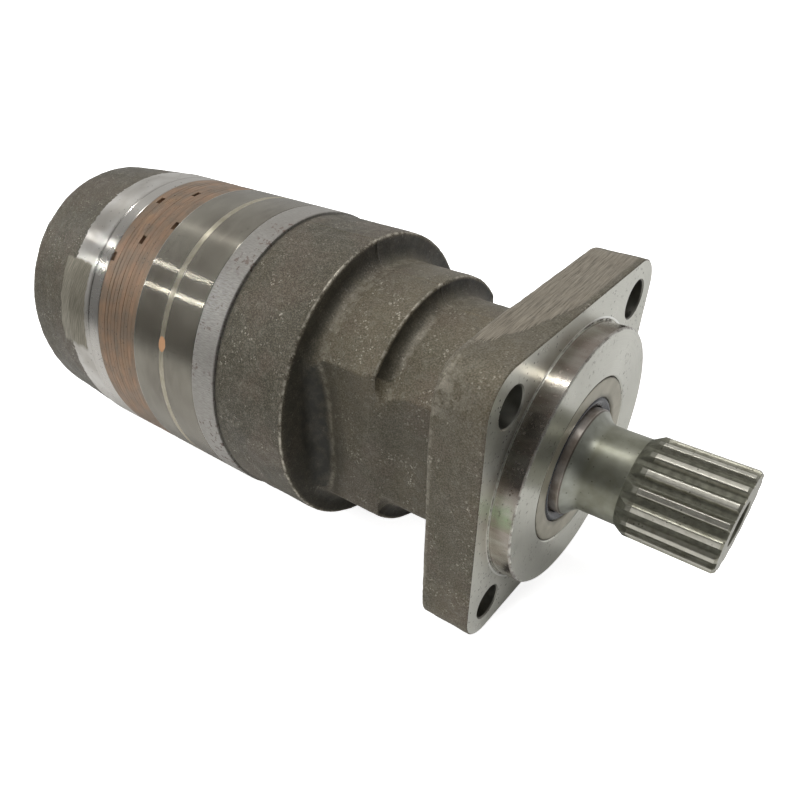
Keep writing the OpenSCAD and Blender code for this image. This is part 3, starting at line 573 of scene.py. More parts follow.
def dark_stator():
    """The ground stator ring: dark oily steel, with a lighter belt and a dab of copper braze on it, a painted
    dark reflection in a band round 157 degrees, and a painted highlight along its rear edge
    """
    f = Finish("dark_ground_steel")
    f.color = f.mix(f.cloud(26, 3, 0.35, 0.65), (0.285, 0.267, 0.22), (0.205, 0.187, 0.152))
    smear = f.drawn(3, f.x, f.times(f.angle, 0.02))
    f.coat(f.scale(smear, 0.42, 0.65, 0.0, 0.25), (0.36, 0.335, 0.28))
    # Painted dark reflection: a darker band round 157 degrees, with ragged ends
    shade = f.off(f.ragged(f.angle, f.noise(9, 2), 0.12), math.radians(157))
    shade = f.scale(shade, math.radians(10), math.radians(2), 0.0, 0.5, smooth=True)
    f.coat(shade, (0.12, 0.105, 0.08))
    belt = f.ragged(f.off(f.x, X_BELT * MM), f.noise(2.5, 3), 0.5 * MM)
    belt = f.rise(belt, BELT_HALF + 0.15, BELT_HALF)
    streak = f.drawn(0.5, f.x, f.times(f.angle, 0.01))
    f.coat(belt, f.mix(f.scale(streak, 0.4, 0.6), (0.42, 0.38, 0.28), (0.55, 0.51, 0.41)))
    along = f.math("DIVIDE", f.minus(f.x, X_DAB * MM), DAB_LEN * MM)
    around = f.math("DIVIDE", f.minus(f.angle, math.radians(DAB_TURN)), DAB_W / BARREL_R)
    dab = f.ragged(f.plus(f.times(along, along), f.times(around, around)), f.noise(1.2, 2), 0.7)
    dab = f.scale(dab, 1.4, 1.25)
    f.coat(dab, (0.6, 0.34, 0.19))
    f.coat(f.times(f.pits(1.5, 0.1), 0.8), (0.05, 0.04, 0.03))
    f.coat(f.edge_highlight(X_MANIFOLD, 0.6), (0.85, 0.83, 0.78))
    return f.set(metal=f.blend(dab, 0.78, 0.3), rough=f.blend(dab, f.blend(belt, 0.25, 0.36), 0.5),
                 grain=1.0, normal=f.bump(f.lathe_lines(), 0.004, 0.4))


def shaft_steel():
    """The shaft: a polished brownish journal, a satin cone, a dull neck, and teeth with dark gaps"""
    f = Finish("shaft_steel")
    polish = f.mix(f.cloud(7, 3, 0.4, 0.6), (0.62, 0.57, 0.52), (0.38, 0.32, 0.27))
    satin = f.mix(f.cloud(5, 3, 0.35, 0.65), (0.43, 0.44, 0.385), (0.33, 0.335, 0.285))
    neck = f.mix(f.cloud(9, 3, 0.35, 0.65), (0.4, 0.4, 0.33), (0.27, 0.27, 0.21))
    teeth = f.mix(f.cloud(3, 3, 0.35, 0.65), (0.4, 0.39, 0.32), (0.26, 0.25, 0.195))
    land = f.times(f.rise(f.radius, SPLINE_R - 0.2, SPLINE_R - 0.08), f.cloud(2.2, 3, 0.3, 0.6, 0.6, 1.0))
    teeth = f.mix(land, teeth, (0.62, 0.6, 0.52))
    seam = f.rise(f.off(f.x, (X_CONE - 0.05) * MM), 0.35, 0.15)
    on_cone = f.rise(f.x, X_CONE - 0.1, X_CONE + 0.1)
    on_neck = f.rise(f.x, X_CONE + 2.2, X_CONE + 5.8)
    on_teeth = f.rise(f.x, X_SPLINE + RUN_OUT, X_SPLINE + RUN_OUT + 0.4)
    f.color = f.mix(on_cone, polish, satin)
    f.coat(f.times(seam, 0.8), (0.09, 0.065, 0.05))
    f.coat(on_neck, neck)
    f.coat(on_teeth, teeth)
    start_end = f.rise(f.ragged(f.x, f.noise(1.1, 3), 0.5 * MM), X_SPLINE + 5.9, X_SPLINE + 5.7)
    start = f.times(f.rise(f.x, X_SPLINE - 0.2, X_SPLINE + 0.1), start_end, 0.75)
    gap = f.times(f.rise(f.radius, ROOT_R + 0.9, ROOT_R + 0.35), f.rise(f.x, X_SPLINE - 0.2, X_SPLINE + 0.2),
                  f.rise(f.x, SHAFT_END - 0.02, SHAFT_END - 0.3))
    dark = f.either(start, f.times(gap, f.cloud(2.5, 3, 0.3, 0.6, 0.7, 0.9)))
    f.coat(dark, f.mix(f.cloud(2.2, 3, 0.3, 0.7), (0.05, 0.05, 0.035), (0.12, 0.12, 0.088)))
    pit = f.times(f.pits(1.4, 0.22, 8, high=0.58), on_cone)
    f.coat(f.times(pit, 0.85), (0.045, 0.04, 0.028))
    dull = f.either(dark, pit)
    rough = f.blend(on_cone, 0.3, 0.38)
    rough = f.blend(on_teeth, f.blend(on_neck, rough, 0.46), 0.36)
    turning = f.minus(1.0, f.rise(f.x, X_SPLINE - 0.4, X_SPLINE))
    return f.set(metal=f.blend(dull, f.blend(on_cone, 0.75, 0.9), 0.4),
                 rough=f.blend(dull, rough, 0.65), grain=f.times(turning, 0.6),
                 normal=f.bump(f.lathe_lines(0.14), 0.012, 0.5))


def seal_case_metal():
    """The dust seal's pressed case: dull tan, with a brown line of grease round its edge, and grease with
    painted shade near the lip
    """
    f = Finish("seal_case")
    f.color = f.mix(f.cloud(8, 3, 0.35, 0.65), (0.5, 0.47, 0.385), (0.4, 0.375, 0.3))
    edge = f.rise(f.ragged(f.radius, f.noise(2.5, 3), 0.9 * MM), DUST_SEAL_R - 0.4, DUST_SEAL_R + 0.1)
    inner = f.rise(f.ragged(f.radius, f.noise(2.5, 3), 1.5 * MM), JOURNAL_R + 6.8, JOURNAL_R + 5.2)
    # Grease round the edge, and grease with painted shade near the lip
    grease_and_shade = f.either(edge, f.times(inner, 0.5))
    f.coat(f.times(grease_and_shade, 0.85), (0.07, 0.055, 0.028))
    return f.set(metal=f.blend(grease_and_shade, 0.8, 0.3), rough=0.42, normal=f.bump(f.noise(0.8), 0.006, 0.5))


def copper_plate(k):
    """Edge of one brazed manifold plate, whose shade differs from plate to plate"""
    f = Finish("copper_plate_%d" % k)
    shade = (math.sin(k * 2.3) + 1) / 2
    warm = tuple(a + (b - a) * shade for a, b in zip((0.4, 0.26, 0.17), (0.33, 0.232, 0.158)))
    streak = f.drawn(0.7, f.x, f.times(f.angle, 0.006))
    f.color = f.mix(f.scale(streak, 0.35, 0.65), warm, tuple(v * 0.76 for v in warm))
    f.coat(f.cloud(9, 3, 0.42, 0.62, 0.0, 0.7), (0.23, 0.185, 0.14))
    f.coat(f.cloud(11, 3, 0.56, 0.72, 0.0, 0.4), (0.42, 0.26, 0.145))
    pit = f.either(f.specks(1.0, 0.2), f.pits(1.7, 0.16, 9, 0.45, 0.55))
    f.coat(f.times(pit, 0.8), (0.05, 0.035, 0.025))
    return f.set(metal=0.7, rough=f.cloud(6, 3, 0.3, 0.7, 0.42, 0.52), grain=0.3,
                 normal=f.bump(f.lathe_lines(0.12), 0.006, 0.5))


def rubber_finish():
    """Black seal rubber"""
    f = Finish("seal_rubber")
    f.color = f.mix(f.noise(2, 2), (0.012, 0.013, 0.018), (0.03, 0.034, 0.045))
    return f.set(metal=0.0, rough=f.cloud(5, 2, 0.3, 0.7, 0.2, 0.35), normal=f.bump(f.noise(0.5), 0.01, 0.4))


CAST = cast_iron()
COVER_IRON = cover_iron()
TURNED = turned_steel("turned_face", (0.62, 0.615, 0.545), 0.3, 0.85, 0.2, rusty=True)
BORE = turned_steel("bored_steel", (0.24, 0.235, 0.205), 0.42, 0.3)
BRIGHT = turned_steel("bright_steel", (0.6, 0.575, 0.53), 0.28, 0.9, 0.1)
WEAR = ground_wear_plate()
DARK = dark_stator()
GROUND = turned_steel("ground_steel", (0.4, 0.39, 0.36), 0.3, 0.5, 0.04)
SHAFT = shaft_steel()
SEAL_CASE = seal_case_metal()
BRONZE = turned_steel("cage_bronze", (0.45, 0.3, 0.12), 0.35, 0.4, 0.02)
RUBBER = rubber_finish()
BLACK = turned_steel("blackened_steel", (0.19, 0.185, 0.175), 0.36, 0.2, 0.08)

# Finishes of the CAD nodes that stay, by the record's slot
INNER = {
    "bright_steel": BRIGHT, "ground_steel": GROUND, "dark_steel": DARK, "turned_steel": SHAFT,
    "bronze": BRONZE, "rubber": RUBBER, "copper_plate": copper_plate(PLATES + 1), "seal_metal": SEAL_CASE,
    "cast_iron": CAST}


def flange_outline(theta, inset=0.0):
    """Radius of the rounded square flange at each angle"""
    half, corner = FLANGE_HALF - inset, FLANGE_CORNER_R - inset
    c, s = np.abs(np.cos(theta)), np.abs(np.sin(theta))
    big, small = np.maximum(c, s), np.minimum(c, s)
    side = half / big
    centre = half - corner
    mid = centre * (c + s)
    round_end = mid + np.sqrt(np.maximum(mid ** 2 - 2 * centre ** 2 + corner ** 2, 0))
    return np.where(side * small <= centre, side, round_end)


def body_outline(theta, radius, flat):
    """Radius of a round neck with two cast flats, with a soft edge where they meet"""
    flat_r = flat / np.maximum(np.abs(np.cos(theta)), 1e-3)
    soft = 0.5
    d = np.clip(0.5 + (flat_r - radius) / (2 * soft), 0, 1)
    return flat_r * (1 - d) + radius * d - soft * d * (1 - d)


def fillet_rise(distance, radius):
    """How far a fillet stands out at a distance from the face it meets"""
    if not 0 <= distance < radius:
        return 0.0
    return radius - math.sqrt(radius ** 2 - (radius - distance) ** 2)


def flats_at(x):
    """Half width across the flats at a station of the necks, with the fillets at both ends"""
    drawn_in = ease((x - X_FRONT_NECK) / FLATS_BEND + 0.3)
    return (MID_FLAT + (FRONT_FLAT - MID_FLAT) * drawn_in + fillet_rise(x - X_MID_NECK, FLAT_FILLET_R)
            + fillet_rise(-FLANGE_T - x, FILLET_R))


class Rows:
    """Rows of a skin, gathered from the rear to the front and back through the bores"""

    def __init__(self, theta):
        self.theta, self.x, self.r, self.slot = theta, [], [], []
        # The marks: wear with painted highlights, dirt with painted shade, and how far the sand moves a row
        self.marks = {"worn": [], "hollow": [], "cast": []}

    def full(self, value):
        return np.broadcast_to(np.asarray(value, float), self.theta.shape)

    def add(self, x, r, slot=0, **marks):
        self.x.append(self.full(x))
        self.r.append(self.full(r))
        self.slot.append(slot)
        for key, kept in self.marks.items():
            kept.append(self.full(marks.get(key, 0.0)))

    def neck(self, x, radius, **marks):
        """A cast row of a neck that is cut by its two flats"""
        self.add(x, body_outline(self.theta, radius, flats_at(x)), cast=1, **marks)

    def skin(self, name, **options):
        return skin(name, np.array(self.x), np.array(self.r), self.theta, slots=self.slot, marks=self.marks,
                    **options)


def rounded_edge(x, r, radius):
    """Station and radius of each row of an outer edge whose face is at x, with the row's angle"""
    for a in arc(78, 0, 6):
        yield x - radius + radius * math.cos(a), r - radius + radius * math.sin(a), a


def fillet(x, r, radius, away=1):
    """Station and radius of each row of a fillet from the face at x down to r, with the row's angle. away is
    the side of the face that the fillet lies on"""
    for a in arc(0, 90, 7):
        yield x + away * radius * (1 - math.cos(a)), r + radius * (1 - math.sin(a)), a


def sand_casting(piece, seam):
    """Moves the cast faces of a piece by the unevenness of a sand mould, with the mould's parting line"""
    fine, broad = 0.09, 0.2
    mesh = piece.data
    count = len(mesh.vertices)
    co, normal, cast = np.zeros(count * 3), np.zeros(count * 3), np.zeros(count)
    mesh.vertices.foreach_get("co", co)
    mesh.vertex_normals.foreach_get("vector", normal)
    mesh.attributes["cast"].data.foreach_get("value", cast)
    co, normal = co.reshape(-1, 3), normal.reshape(-1, 3)
    for k in np.nonzero(cast > 0.01)[0]:
        p = Vector(co[k] / MM)
        lift = fine * noise.fractal(p / 2.6, 0.9, 2.0, 2) + broad * noise.fractal(p / 11, 0.9, 2.0, 3)
        wander = 0.5 * noise.noise(Vector((p.x / 14, 0, p.z / 60)))
        if p.x < -FLANGE_T - 1:
            lift += seam * math.exp(-((p.y - wander) / 0.45) ** 2)
        co[k] += normal[k] * lift * cast[k] * MM
    mesh.vertices.foreach_set("co", co.ravel())
    mesh.update()


def off_round(theta, x, radius):
    """Where the flats cut a neck of the radius at a station"""
    return np.abs(np.cos(theta)) * radius > flats_at(x) + 0.1


def flat_marks(theta, x):
    """Painted shade on the flats in front of the first shoulder: dark up to a thin painted highlight line
    that bends back towards the shoulder at the top and bottom"""
    up_flat = np.minimum(np.abs(np.tan(theta)) * MID_FLAT / math.sqrt(MID_R ** 2 - MID_FLAT ** 2), 1)
    past = x - (X_MID_NECK + HIGHLIGHT_LINE - HIGHLIGHT_LINE_BEND * up_flat ** 4)
    hollow = np.interp(past, (-2.2, -0.7, 0.7, 2, 4, 8), (1, 0.4, 0.15, 0.5, 0.45, 0.25))
    return hollow, 0.42 * np.exp(-past ** 2)


def barrel_rows(rows):
    """The cast barrel, up to the rounded edge of the first shoulder"""
    rows.add(X_WEAR, CAST_R - 0.8, 2)
    rows.add(X_WEAR + 0.8, CAST_R - 0.05, cast=0.3, hollow=0.6)
    for x in steps(X_WEAR + 0.8, X_MID_NECK - EDGE_R, 1.25):
        rows.add(x, CAST_R, cast=1)
    for x, r, a in rounded_edge(X_MID_NECK, CAST_R, EDGE_R):
        rows.add(x, r, cast=1, worn=math.sin(2 * a) ** 2)


def mid_neck_rows(rows):
    """The first shoulder, its fillet, and the wide neck, with painted shade on the shoulder face, down the
    fillet and on the flats, a dark crack, a thin painted highlight line on the flats, and a little painted
    sheen on the round part near the fillet
    """
    theta = rows.theta
    crack = np.abs(np.degrees(theta) - 90.5) < 0.5
    foot = body_outline(theta, MID_R + FILLET_R, flats_at(X_MID_NECK))
    for t in steps(0, 1, 0.17)[:-1]:
        radius = (CAST_R - EDGE_R) * (1 - t) + foot * t
        rows.add(X_MID_NECK, radius, cast=1, hollow=np.where(crack, 0.95, 0.7))
    for x, r, a in fillet(X_MID_NECK, MID_R, FILLET_R):
        on_flat = off_round(theta, x, MID_R)
        hollow, worn = flat_marks(theta, x)
        rows.neck(x, r, hollow=np.where(on_flat, hollow, 0.8 - 0.8 * (math.degrees(a) / 90) ** 2),
                  worn=np.where(on_flat, worn, 0.2 * (a > 1.2)))
    x_fine = X_MID_NECK + FLAT_FILLET_R + 3
    near, rest = steps(X_MID_NECK + FILLET_R, x_fine, 0.5), steps(x_fine, X_FRONT_NECK - EDGE_R, 1.2)
    for x in [*near, *rest]:
        on_flat = off_round(theta, x, MID_R)
        hollow, worn = flat_marks(theta, x)
        rows.neck(x, MID_R, hollow=hollow * on_flat,
                  worn=np.where(on_flat, worn, 0.2 * (x < X_MID_NECK + FILLET_R + 3)))


def front_neck_rows(rows):
    """The second shoulder, its fillet, and the narrow neck with its fillet at the flange, with bright scuffs
    on the shoulder's edge, painted shade on the shoulder face, the fillets and the flats, and a little
    painted sheen at the end of the shoulder's fillet
    """
    theta = rows.theta
    on_round = np.abs(np.cos(theta)) * MID_R < flats_at(X_FRONT_NECK)
    for x, r, a in rounded_edge(X_FRONT_NECK, MID_R, EDGE_R):
        rows.neck(x, r, worn=0.9 * math.sin(2 * a) ** 2 * on_round, hollow=0.25 * ~on_round)
    for t in steps(0, 1, 0.34)[:-1]:
        radius = (MID_R - EDGE_R) * (1 - t) + (FRONT_R + FILLET_R) * t
        rows.neck(X_FRONT_NECK, radius, hollow=np.where(on_round, 0.9, 0.25))
    for x, r, a in fillet(X_FRONT_NECK, FRONT_R, FILLET_R):
        on_flat = off_round(theta, x, FRONT_R)
        hollow = (0.8 - 0.8 * (math.degrees(a) / 90) ** 2) * on_round + 0.25 * on_flat
        rows.neck(x, r, hollow=hollow, worn=0.2 * (a > 1.2) * ~on_flat)
    for x in steps(X_FRONT_NECK + FILLET_R, -FLANGE_T - FILLET_R, 1.25):
        rows.neck(x, FRONT_R, hollow=0.25 * off_round(theta, x, FRONT_R))
    for x, r, _ in list(fillet(-FLANGE_T, FRONT_R, FILLET_R, -1))[-2::-1]:
        rows.neck(x, r, hollow=0.4)


def flange_rows(rows):
    """The flange's cast back and sides, rounder at the upper left corner, with scuffs round the rim and a
    painted sheen on that corner
    """
    theta = rows.theta
    foot = body_outline(theta, FRONT_R + FILLET_R, flats_at(-FLANGE_T))
    corner = np.exp(-((np.degrees(theta) - 134) / 11) ** 2)
    rim_r = 1.1 + 2.6 * corner
    for t in steps(0, 1, 0.1):
        rows.add(-FLANGE_T, foot * (1 - t) + flange_outline(theta, rim_r) * t, cast=1)
    for a in arc(72, 0, 5):
        inset = rim_r * (1 - math.cos(a))
        rows.add(-FLANGE_T + rim_r * (1 - math.sin(a)), flange_outline(theta, inset), cast=1,
                 worn=0.25 + 0.1 * corner)
    # Painted sheen on the side of the upper left corner, fading towards the front
    for t in steps(0, 1, 0.06):
        rows.add((-FLANGE_T + rim_r) * (1 - t) - 0.6 * t, flange_outline(theta), cast=1,
                 worn=0.32 * np.exp(-((np.degrees(theta) - 139) / 6) ** 2) * (1 - t))
    rows.add(-0.4, flange_outline(theta), cast=0.2)
    rows.add(0, flange_outline(theta, 0.4), 1)


def pilot_rows(rows):
    """The turned front face, the relief groove round the pilot, and the pilot. A painted highlight runs along
    the groove's outer edge and faintly along the pilot's front edge, painted shade with rust lies in the
    groove and at the pilot's foot, and rust along the front edge
    """
    relief, chamfer_r = PILOT_R + 0.9, PILOT_R - PILOT_CHAMFER
    for t in steps(0, 1, 0.12):
        rows.add(0, flange_outline(rows.theta, 0.4) * (1 - t) + (relief + 1) * t, 1)
    for x, r, worn, hollow in (
            (0, relief + 0.8, 0, 0), (0, relief + 0.6, 1, 0), (0, relief, 1, 0),
            (-0.35, relief - 0.35, 0, 0.8), (-0.35, PILOT_R + 0.15, 0, 0.8), (-0.1, PILOT_R, 0, 0.5),
            (0.5, PILOT_R, 0, 0), (X_PILOT / 2, PILOT_R, 0, 0),
            (X_PILOT - PILOT_CHAMFER - 0.3, PILOT_R, 0, 0), (X_PILOT - PILOT_CHAMFER, PILOT_R, 0.2, 0.5),
            (X_PILOT, chamfer_r, 0.2, 0.6), (X_PILOT, chamfer_r - 0.3, 0, 0)):
        rows.add(x, r, 1, worn=worn, hollow=hollow)
    for r in steps(chamfer_r - 0.3, DUST_SEAL_R + 0.5, 3):
        rows.add(X_PILOT, r, 1)


def bore_rows(rows):
    """The bores, from the dust seal's seat back to the wear plate's seal groove"""
    clear_r, washer_r, groove_r = JOURNAL_R + 3, THRUST_R + 0.2, SEAL_OUT_R - SEAL_W
    for x, r in (
            (X_PILOT - 0.45, DUST_SEAL_R + 0.05), (X_DUST_FLOOR, DUST_SEAL_R + 0.02),
            (X_DUST_FLOOR, clear_r + 0.4), (X_DUST_FLOOR - 0.4, clear_r), (X_FRONT_BEARING, clear_r),
            (X_FRONT_BEARING, FRONT_BEARING_R), (X_SHAFT_SEAL, FRONT_BEARING_R), (X_SHAFT_SEAL, SHAFT_SEAL_R),
            (X_FRONT_WASHER, SHAFT_SEAL_R), (X_FRONT_WASHER, washer_r), (X_INNER_BEARING, washer_r),
            (X_INNER_BEARING, INNER_BEARING_R), (X_WEAR + 1, INNER_BEARING_R),
            (X_WEAR, INNER_BEARING_R + 1), (X_WEAR, groove_r),
            (X_WEAR + SEAL_DEPTH, groove_r), (X_WEAR + SEAL_DEPTH, SEAL_OUT_R), (X_WEAR, SEAL_OUT_R)):
        rows.add(x, r, 2)


def tie_holes(x0, x1, radius):
    """Cutters of the seven holes for the cover bolts"""
    return [rod(x0, x1, radius, y, z, 32) for y, z in circle_places(ROLLERS, TIE_CIRCLE_R, 180 / ROLLERS)]


def front_housing():
    """The cast housing: barrel, two necks with flats, flange and pilot, bored right through"""
    necks = [math.degrees(math.acos(ratio)) for ratio in (MID_FLAT / MID_R, FRONT_FLAT / FRONT_R)]
    peaks = [90, 270] * 2 + [sign * a + turn for a in necks for sign in (-1, 1) for turn in (0, 180)]
    corners = [45 + 90 * k + d for k in range(4) for d in (-8, 0, 8)]
    rows = Rows(spread(372, peaks + corners, 2.2, 2.4))
    for part in (barrel_rows, mid_neck_rows, front_neck_rows, flange_rows, pilot_rows, bore_rows):
        part(rows)
    piece = rows.skin("front_housing_casting", crease=38)
    sand_casting(piece, 0.3)
    paint(piece, CAST, TURNED, BORE)
    outline = [[-FLANGE_T - 2, BOLT_HOLE_R], [-0.5, BOLT_HOLE_R], [0, BOLT_HOLE_R + 0.5],
               [1, BOLT_HOLE_R + 0.5]]
    holes = [moved(turned("hole", outline, spread(72), loop=False), y, z)
             for y, z in circle_places(4, BOLT_CIRCLE_R, 45)]
    holes += tie_holes(X_WEAR - 1, X_BOLT_END + 2, TIE_THREAD_R)
    for hole in holes:
        paint(hole, BORE)
    cut_away(piece, holes, 38)
    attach(piece, "housing")
    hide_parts("front_housing")


def band(name, node, x0, x1, r_in, finish, slot, chamfer=0.3, r_out=BARREL_R):
    """A ring of the stack, with its edges broken and the cover bolts' holes"""
    outline = [[x0, r_in], [x0, r_out - chamfer], [x0 + chamfer, r_out], [x1 - chamfer, r_out],
               [x1, r_out - chamfer], [x1, r_in]]
    piece = turned(name, outline, spread(288))
    paint(piece, finish)
    cut_away(piece, tie_holes(x0 - 1, x1 + 1, TIE_HOLE_R))
    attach(piece, "housing")
    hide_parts(node)
    return piece


def key_notch(x, degrees):
    """Cutter of a plate's keying notch at an angle"""
    mesh = bpy.data.meshes.new("notch")
    bm = bmesh.new()
    place = Matrix.Translation((x * MM, (BARREL_R + 0.5) * MM, 0))
    bmesh.ops.create_cube(bm, size=1, matrix=place @ Matrix.Diagonal((4 * MM, 5 * MM, KEY_W * MM, 1)))
    bm.to_mesh(mesh)
    bm.free()
    mesh.transform(Matrix.Rotation(math.radians(degrees), 4, "X"))
    return new_piece("notch", mesh)


def stack():
    """The ground rings and brazed plates between the casting and the end cover"""
    band("wear_plate_ground", "wear_plate", X_STATOR, X_WEAR, WEAR_BORE_R, WEAR, "bright_steel")
    pockets = [rod(X_MANIFOLD - 1, X_STATOR + 1, POCKET_R, y, z, 64)
               for y, z in circle_places(ROLLERS, ROLLER_CIRCLE_R)]
    stator = band("stator_ring_ground", "stator_ring", X_MANIFOLD, X_STATOR, ROTOR_BORE_R, DARK, "dark_steel")
    for pocket in pockets:
        cut_away(stator, [pocket])
    for k in range(1, PLATES + 1):
        node = "manifold_plate_%d" % k
        x0, x1, _ = span(node)
        chamfer = 0.22 if k in BROKEN_EDGE_PLATES else 0.02
        r_out = BARREL_R - 0.1 + 0.05 * math.sin(k * 5.1)
        plate = band("brazed_plate_%d" % k, node, x0 + PLATE_GAP / 2, x1 - PLATE_GAP / 2, PLATE_BORE_R,
                     copper_plate(k), "copper_plate", chamfer, r_out)
        cut_away(plate, [key_notch((x0 + x1) / 2, KEY_ANGLES[k - 1])])
    band("commutator_ring_ground", "commutator_ring", X_COVER, X_RING, VALVE_BORE_R, BRIGHT, "bright_steel")


def end_cover():
    """The cast end cover with its turned front edge, two ports and the seats of the cover bolts"""
    front, back = BARREL_R, BARREL_R - 2.7
    edge, x_taper = COVER_EDGE_R, X_COVER - 12
    groove_r = SEAL_OUT_R - SEAL_W
    rows = Rows(spread(320))
    for x, r in ((X_COVER - 3, 0.5), (X_COVER - 3, 15), (X_COVER, 15), (X_COVER, 33), (X_COVER - 6, 33),
                 (X_COVER - 6, VALVE_BORE_R), (X_COVER, VALVE_BORE_R), (X_COVER, groove_r),
                 (X_COVER - SEAL_DEPTH, groove_r)):
        rows.add(x, r, 2)
    for x, r in ((X_COVER - SEAL_DEPTH, SEAL_OUT_R), (X_COVER, SEAL_OUT_R), (X_COVER, front - 0.5),
                 (X_COVER - 0.5, front)):
        rows.add(x, r, 1)
    for x in steps(X_COVER - 0.5, x_taper, 1.2):
        rows.add(x, front)
    for x in steps(x_taper, X_BACK + edge, 1.2):
        t = (x_taper - x) / (x_taper - X_BACK - edge)
        rows.add(x, front - 0.08 + (back - front) * t, cast=float(ease(t * 3 - 0.4)))
    for a in arc(80, 0, 6):
        rows.add(X_BACK + edge - edge * math.cos(a), back - edge + edge * math.sin(a), cast=1, worn=0.25)
    for r in steps(back - edge, 1.2, 1.6):
        rows.add(X_BACK, r, cast=1)
    piece = rows.skin("end_cover_casting", loop=False, crease=38)
    sand_casting(piece, 0)
    paint(piece, COVER_IRON, BRIGHT, BORE)
    cutters = tie_holes(X_BACK - 1, X_COVER + 1, TIE_HOLE_R)
    for z in (-PORT_Z, PORT_Z):
        cutters.append(rod(X_BACK - 2, X_BACK + PORT_DEPTH, PORT_R, 0, z, 72))
        cutters.append(rod(X_BACK - 2.2, X_BACK + 0.8, SPOT_FACE_R, 0, z, 96))
    for cutter in cutters:
        paint(cutter, BORE)
        cut_away(piece, [cutter], 38)
    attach(piece, "housing")
    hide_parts("end_cover")


def involute(angle):
    """The involute function, in degrees, of a pressure angle in radians"""
    return math.degrees(math.tan(angle) - angle)


def tooth_edge(r):
    """Half angle of a spline tooth at a radius, in degrees"""
    base = PITCH_R * math.cos(PRESSURE)
    return 90 / SPLINE_TEETH + involute(PRESSURE) - involute(math.acos(min(1, base / r)))


def tooth_profile():
    """Angles and radii of one spline tooth, a little broken at its edges, with half a gap on each side"""
    half = 180 / SPLINE_TEETH
    tip, foot = tooth_edge(SPLINE_R), tooth_edge(ROOT_R)
    broken = 0.22
    side = [(0, SPLINE_R), (tip * 0.6, SPLINE_R), (tip - 0.5, SPLINE_R - 0.01),
            (tip, SPLINE_R - broken * 0.45)]
    side += [(tooth_edge(r), r) for r in np.linspace(SPLINE_R - broken, ROOT_R + 0.25, 4)]
    side += [(foot + 0.5, ROOT_R + 0.05), (foot + 1.2, ROOT_R), (half * 0.86, ROOT_R), (half, ROOT_R)]
    profile = [(-a, r) for a, r in side[:0:-1]] + side
    return np.radians([a for a, _ in profile]), np.array([r for _, r in profile])


def hub_cutter():
    """Cutter of the internal spline for the drive link's crowned head"""
    r_pitch = HUB_TIP_R - HUB_TOOTH_H / 2
    base = r_pitch * math.cos(PRESSURE)
    half = 90 / HUB_TEETH + math.degrees(HUB_SIDE_GAP / 2 / r_pitch) + involute(PRESSURE)
    ladder = np.linspace(HUB_TIP_R - HUB_TOOTH_H + HUB_TIP_GAP, HUB_TIP_R + HUB_TIP_GAP, 4)
    flank = [half - involute(math.acos(min(1, base / r))) for r in ladder]
    angles, radii = [], []
    for k in range(HUB_TEETH):
        mid = 360 / HUB_TEETH * k
        angles += [mid - a for a in flank] + [mid + a for a in flank[::-1]]
        radii += list(ladder) + list(ladder[::-1])
    stations = [X_LINK - HUB_HALF - 1, X_LINK + HUB_HALF + 1]
    return skin("hub", stations, np.array([radii, radii]), np.radians(angles), loop=False)


def output_shaft():
    """The shaft: bell, journal, concave cone, neck and 17 teeth, made as one tooth's sector and repeated"""
    angle, tooth = tooth_profile()
    edge, step_r = 1.0, JOURNAL_R - 0.25
    rows = [(SHAFT_BACK, 0), (SHAFT_BACK, BELL_R / 2), (SHAFT_BACK, BELL_R - edge),
            (SHAFT_BACK + edge, BELL_R), (X_SHOULDER - edge, BELL_R), (X_SHOULDER, BELL_R - edge),
            (X_SHOULDER, JOURNAL_R + 0.4), (X_SHOULDER + 0.4, JOURNAL_R), (X_CONE - 0.4, JOURNAL_R),
            (X_CONE, step_r)]
    rows += [(X_CONE + CONE_LEN * t, NECK_R + (step_r - NECK_R) * (1 - t) ** 1.9)
             for t in np.linspace(0.1, 1, 10)]
    rows += [(x, NECK_R) for x in steps(X_CONE + CONE_LEN, X_SPLINE, 3)]
    rows += [(X_SPLINE + RUN_OUT * t, np.minimum(tooth, NECK_R + (SPLINE_R - NECK_R) * t))
             for t in np.linspace(0, 1, 7)]
    rows += [(x, tooth) for x in steps(X_SPLINE + RUN_OUT, SHAFT_END - edge, 4)]
    rows += [(SHAFT_END - edge + edge * t, np.minimum(tooth, SPLINE_R - edge * 0.85 * t)) for t in (0.5, 1.0)]
    rows += [(SHAFT_END - depth, r) for depth, r in (
        (0, 12), (0, RECESS_R + 0.2), (0.2, RECESS_R), (2, RECESS_R), (2, TAPPED_R + 1), (3, TAPPED_R),
        (TAPPED_DEPTH, TAPPED_R), (TAPPED_DEPTH + 2.1, 0))]
    x = np.array([np.full(len(angle), x) for x, _ in rows])
    r = np.array([np.broadcast_to(r, angle.shape) for _, r in rows], float)
    points = np.stack([x, r * np.cos(angle), r * np.sin(angle)], -1).reshape(-1, 3) * MM
    last_row, cols = len(rows) - 1, len(angle)
    faces = [[i * cols + j, (i + 1) * cols + j, (i + 1) * cols + j + 1, i * cols + j + 1]
             for i in range(last_row) for j in range(cols - 1)]
    mesh = bpy.data.meshes.new("tooth_sector")
    mesh.from_pydata(points.tolist(), [], faces)
    piece = around_axis("output_shaft_turned", new_piece("tooth_sector", mesh), SPLINE_TEETH, 0, True, SHAFT)
    finish_mesh(piece.data, 30)
    mouth = rod(SHAFT_BACK - 1, X_LINK - HUB_HALF, HUB_MOUTH_R, sides=96)
    relief = rod(X_LINK + HUB_HALF, X_LINK + HUB_HALF + 4, HUB_RELIEF_R, sides=96)
    for tool in (mouth, relief, hub_cutter()):
        paint(tool, BORE)
        cut_away(piece, [tool], 30)
    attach(piece, "output_shaft")
    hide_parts("output_shaft")


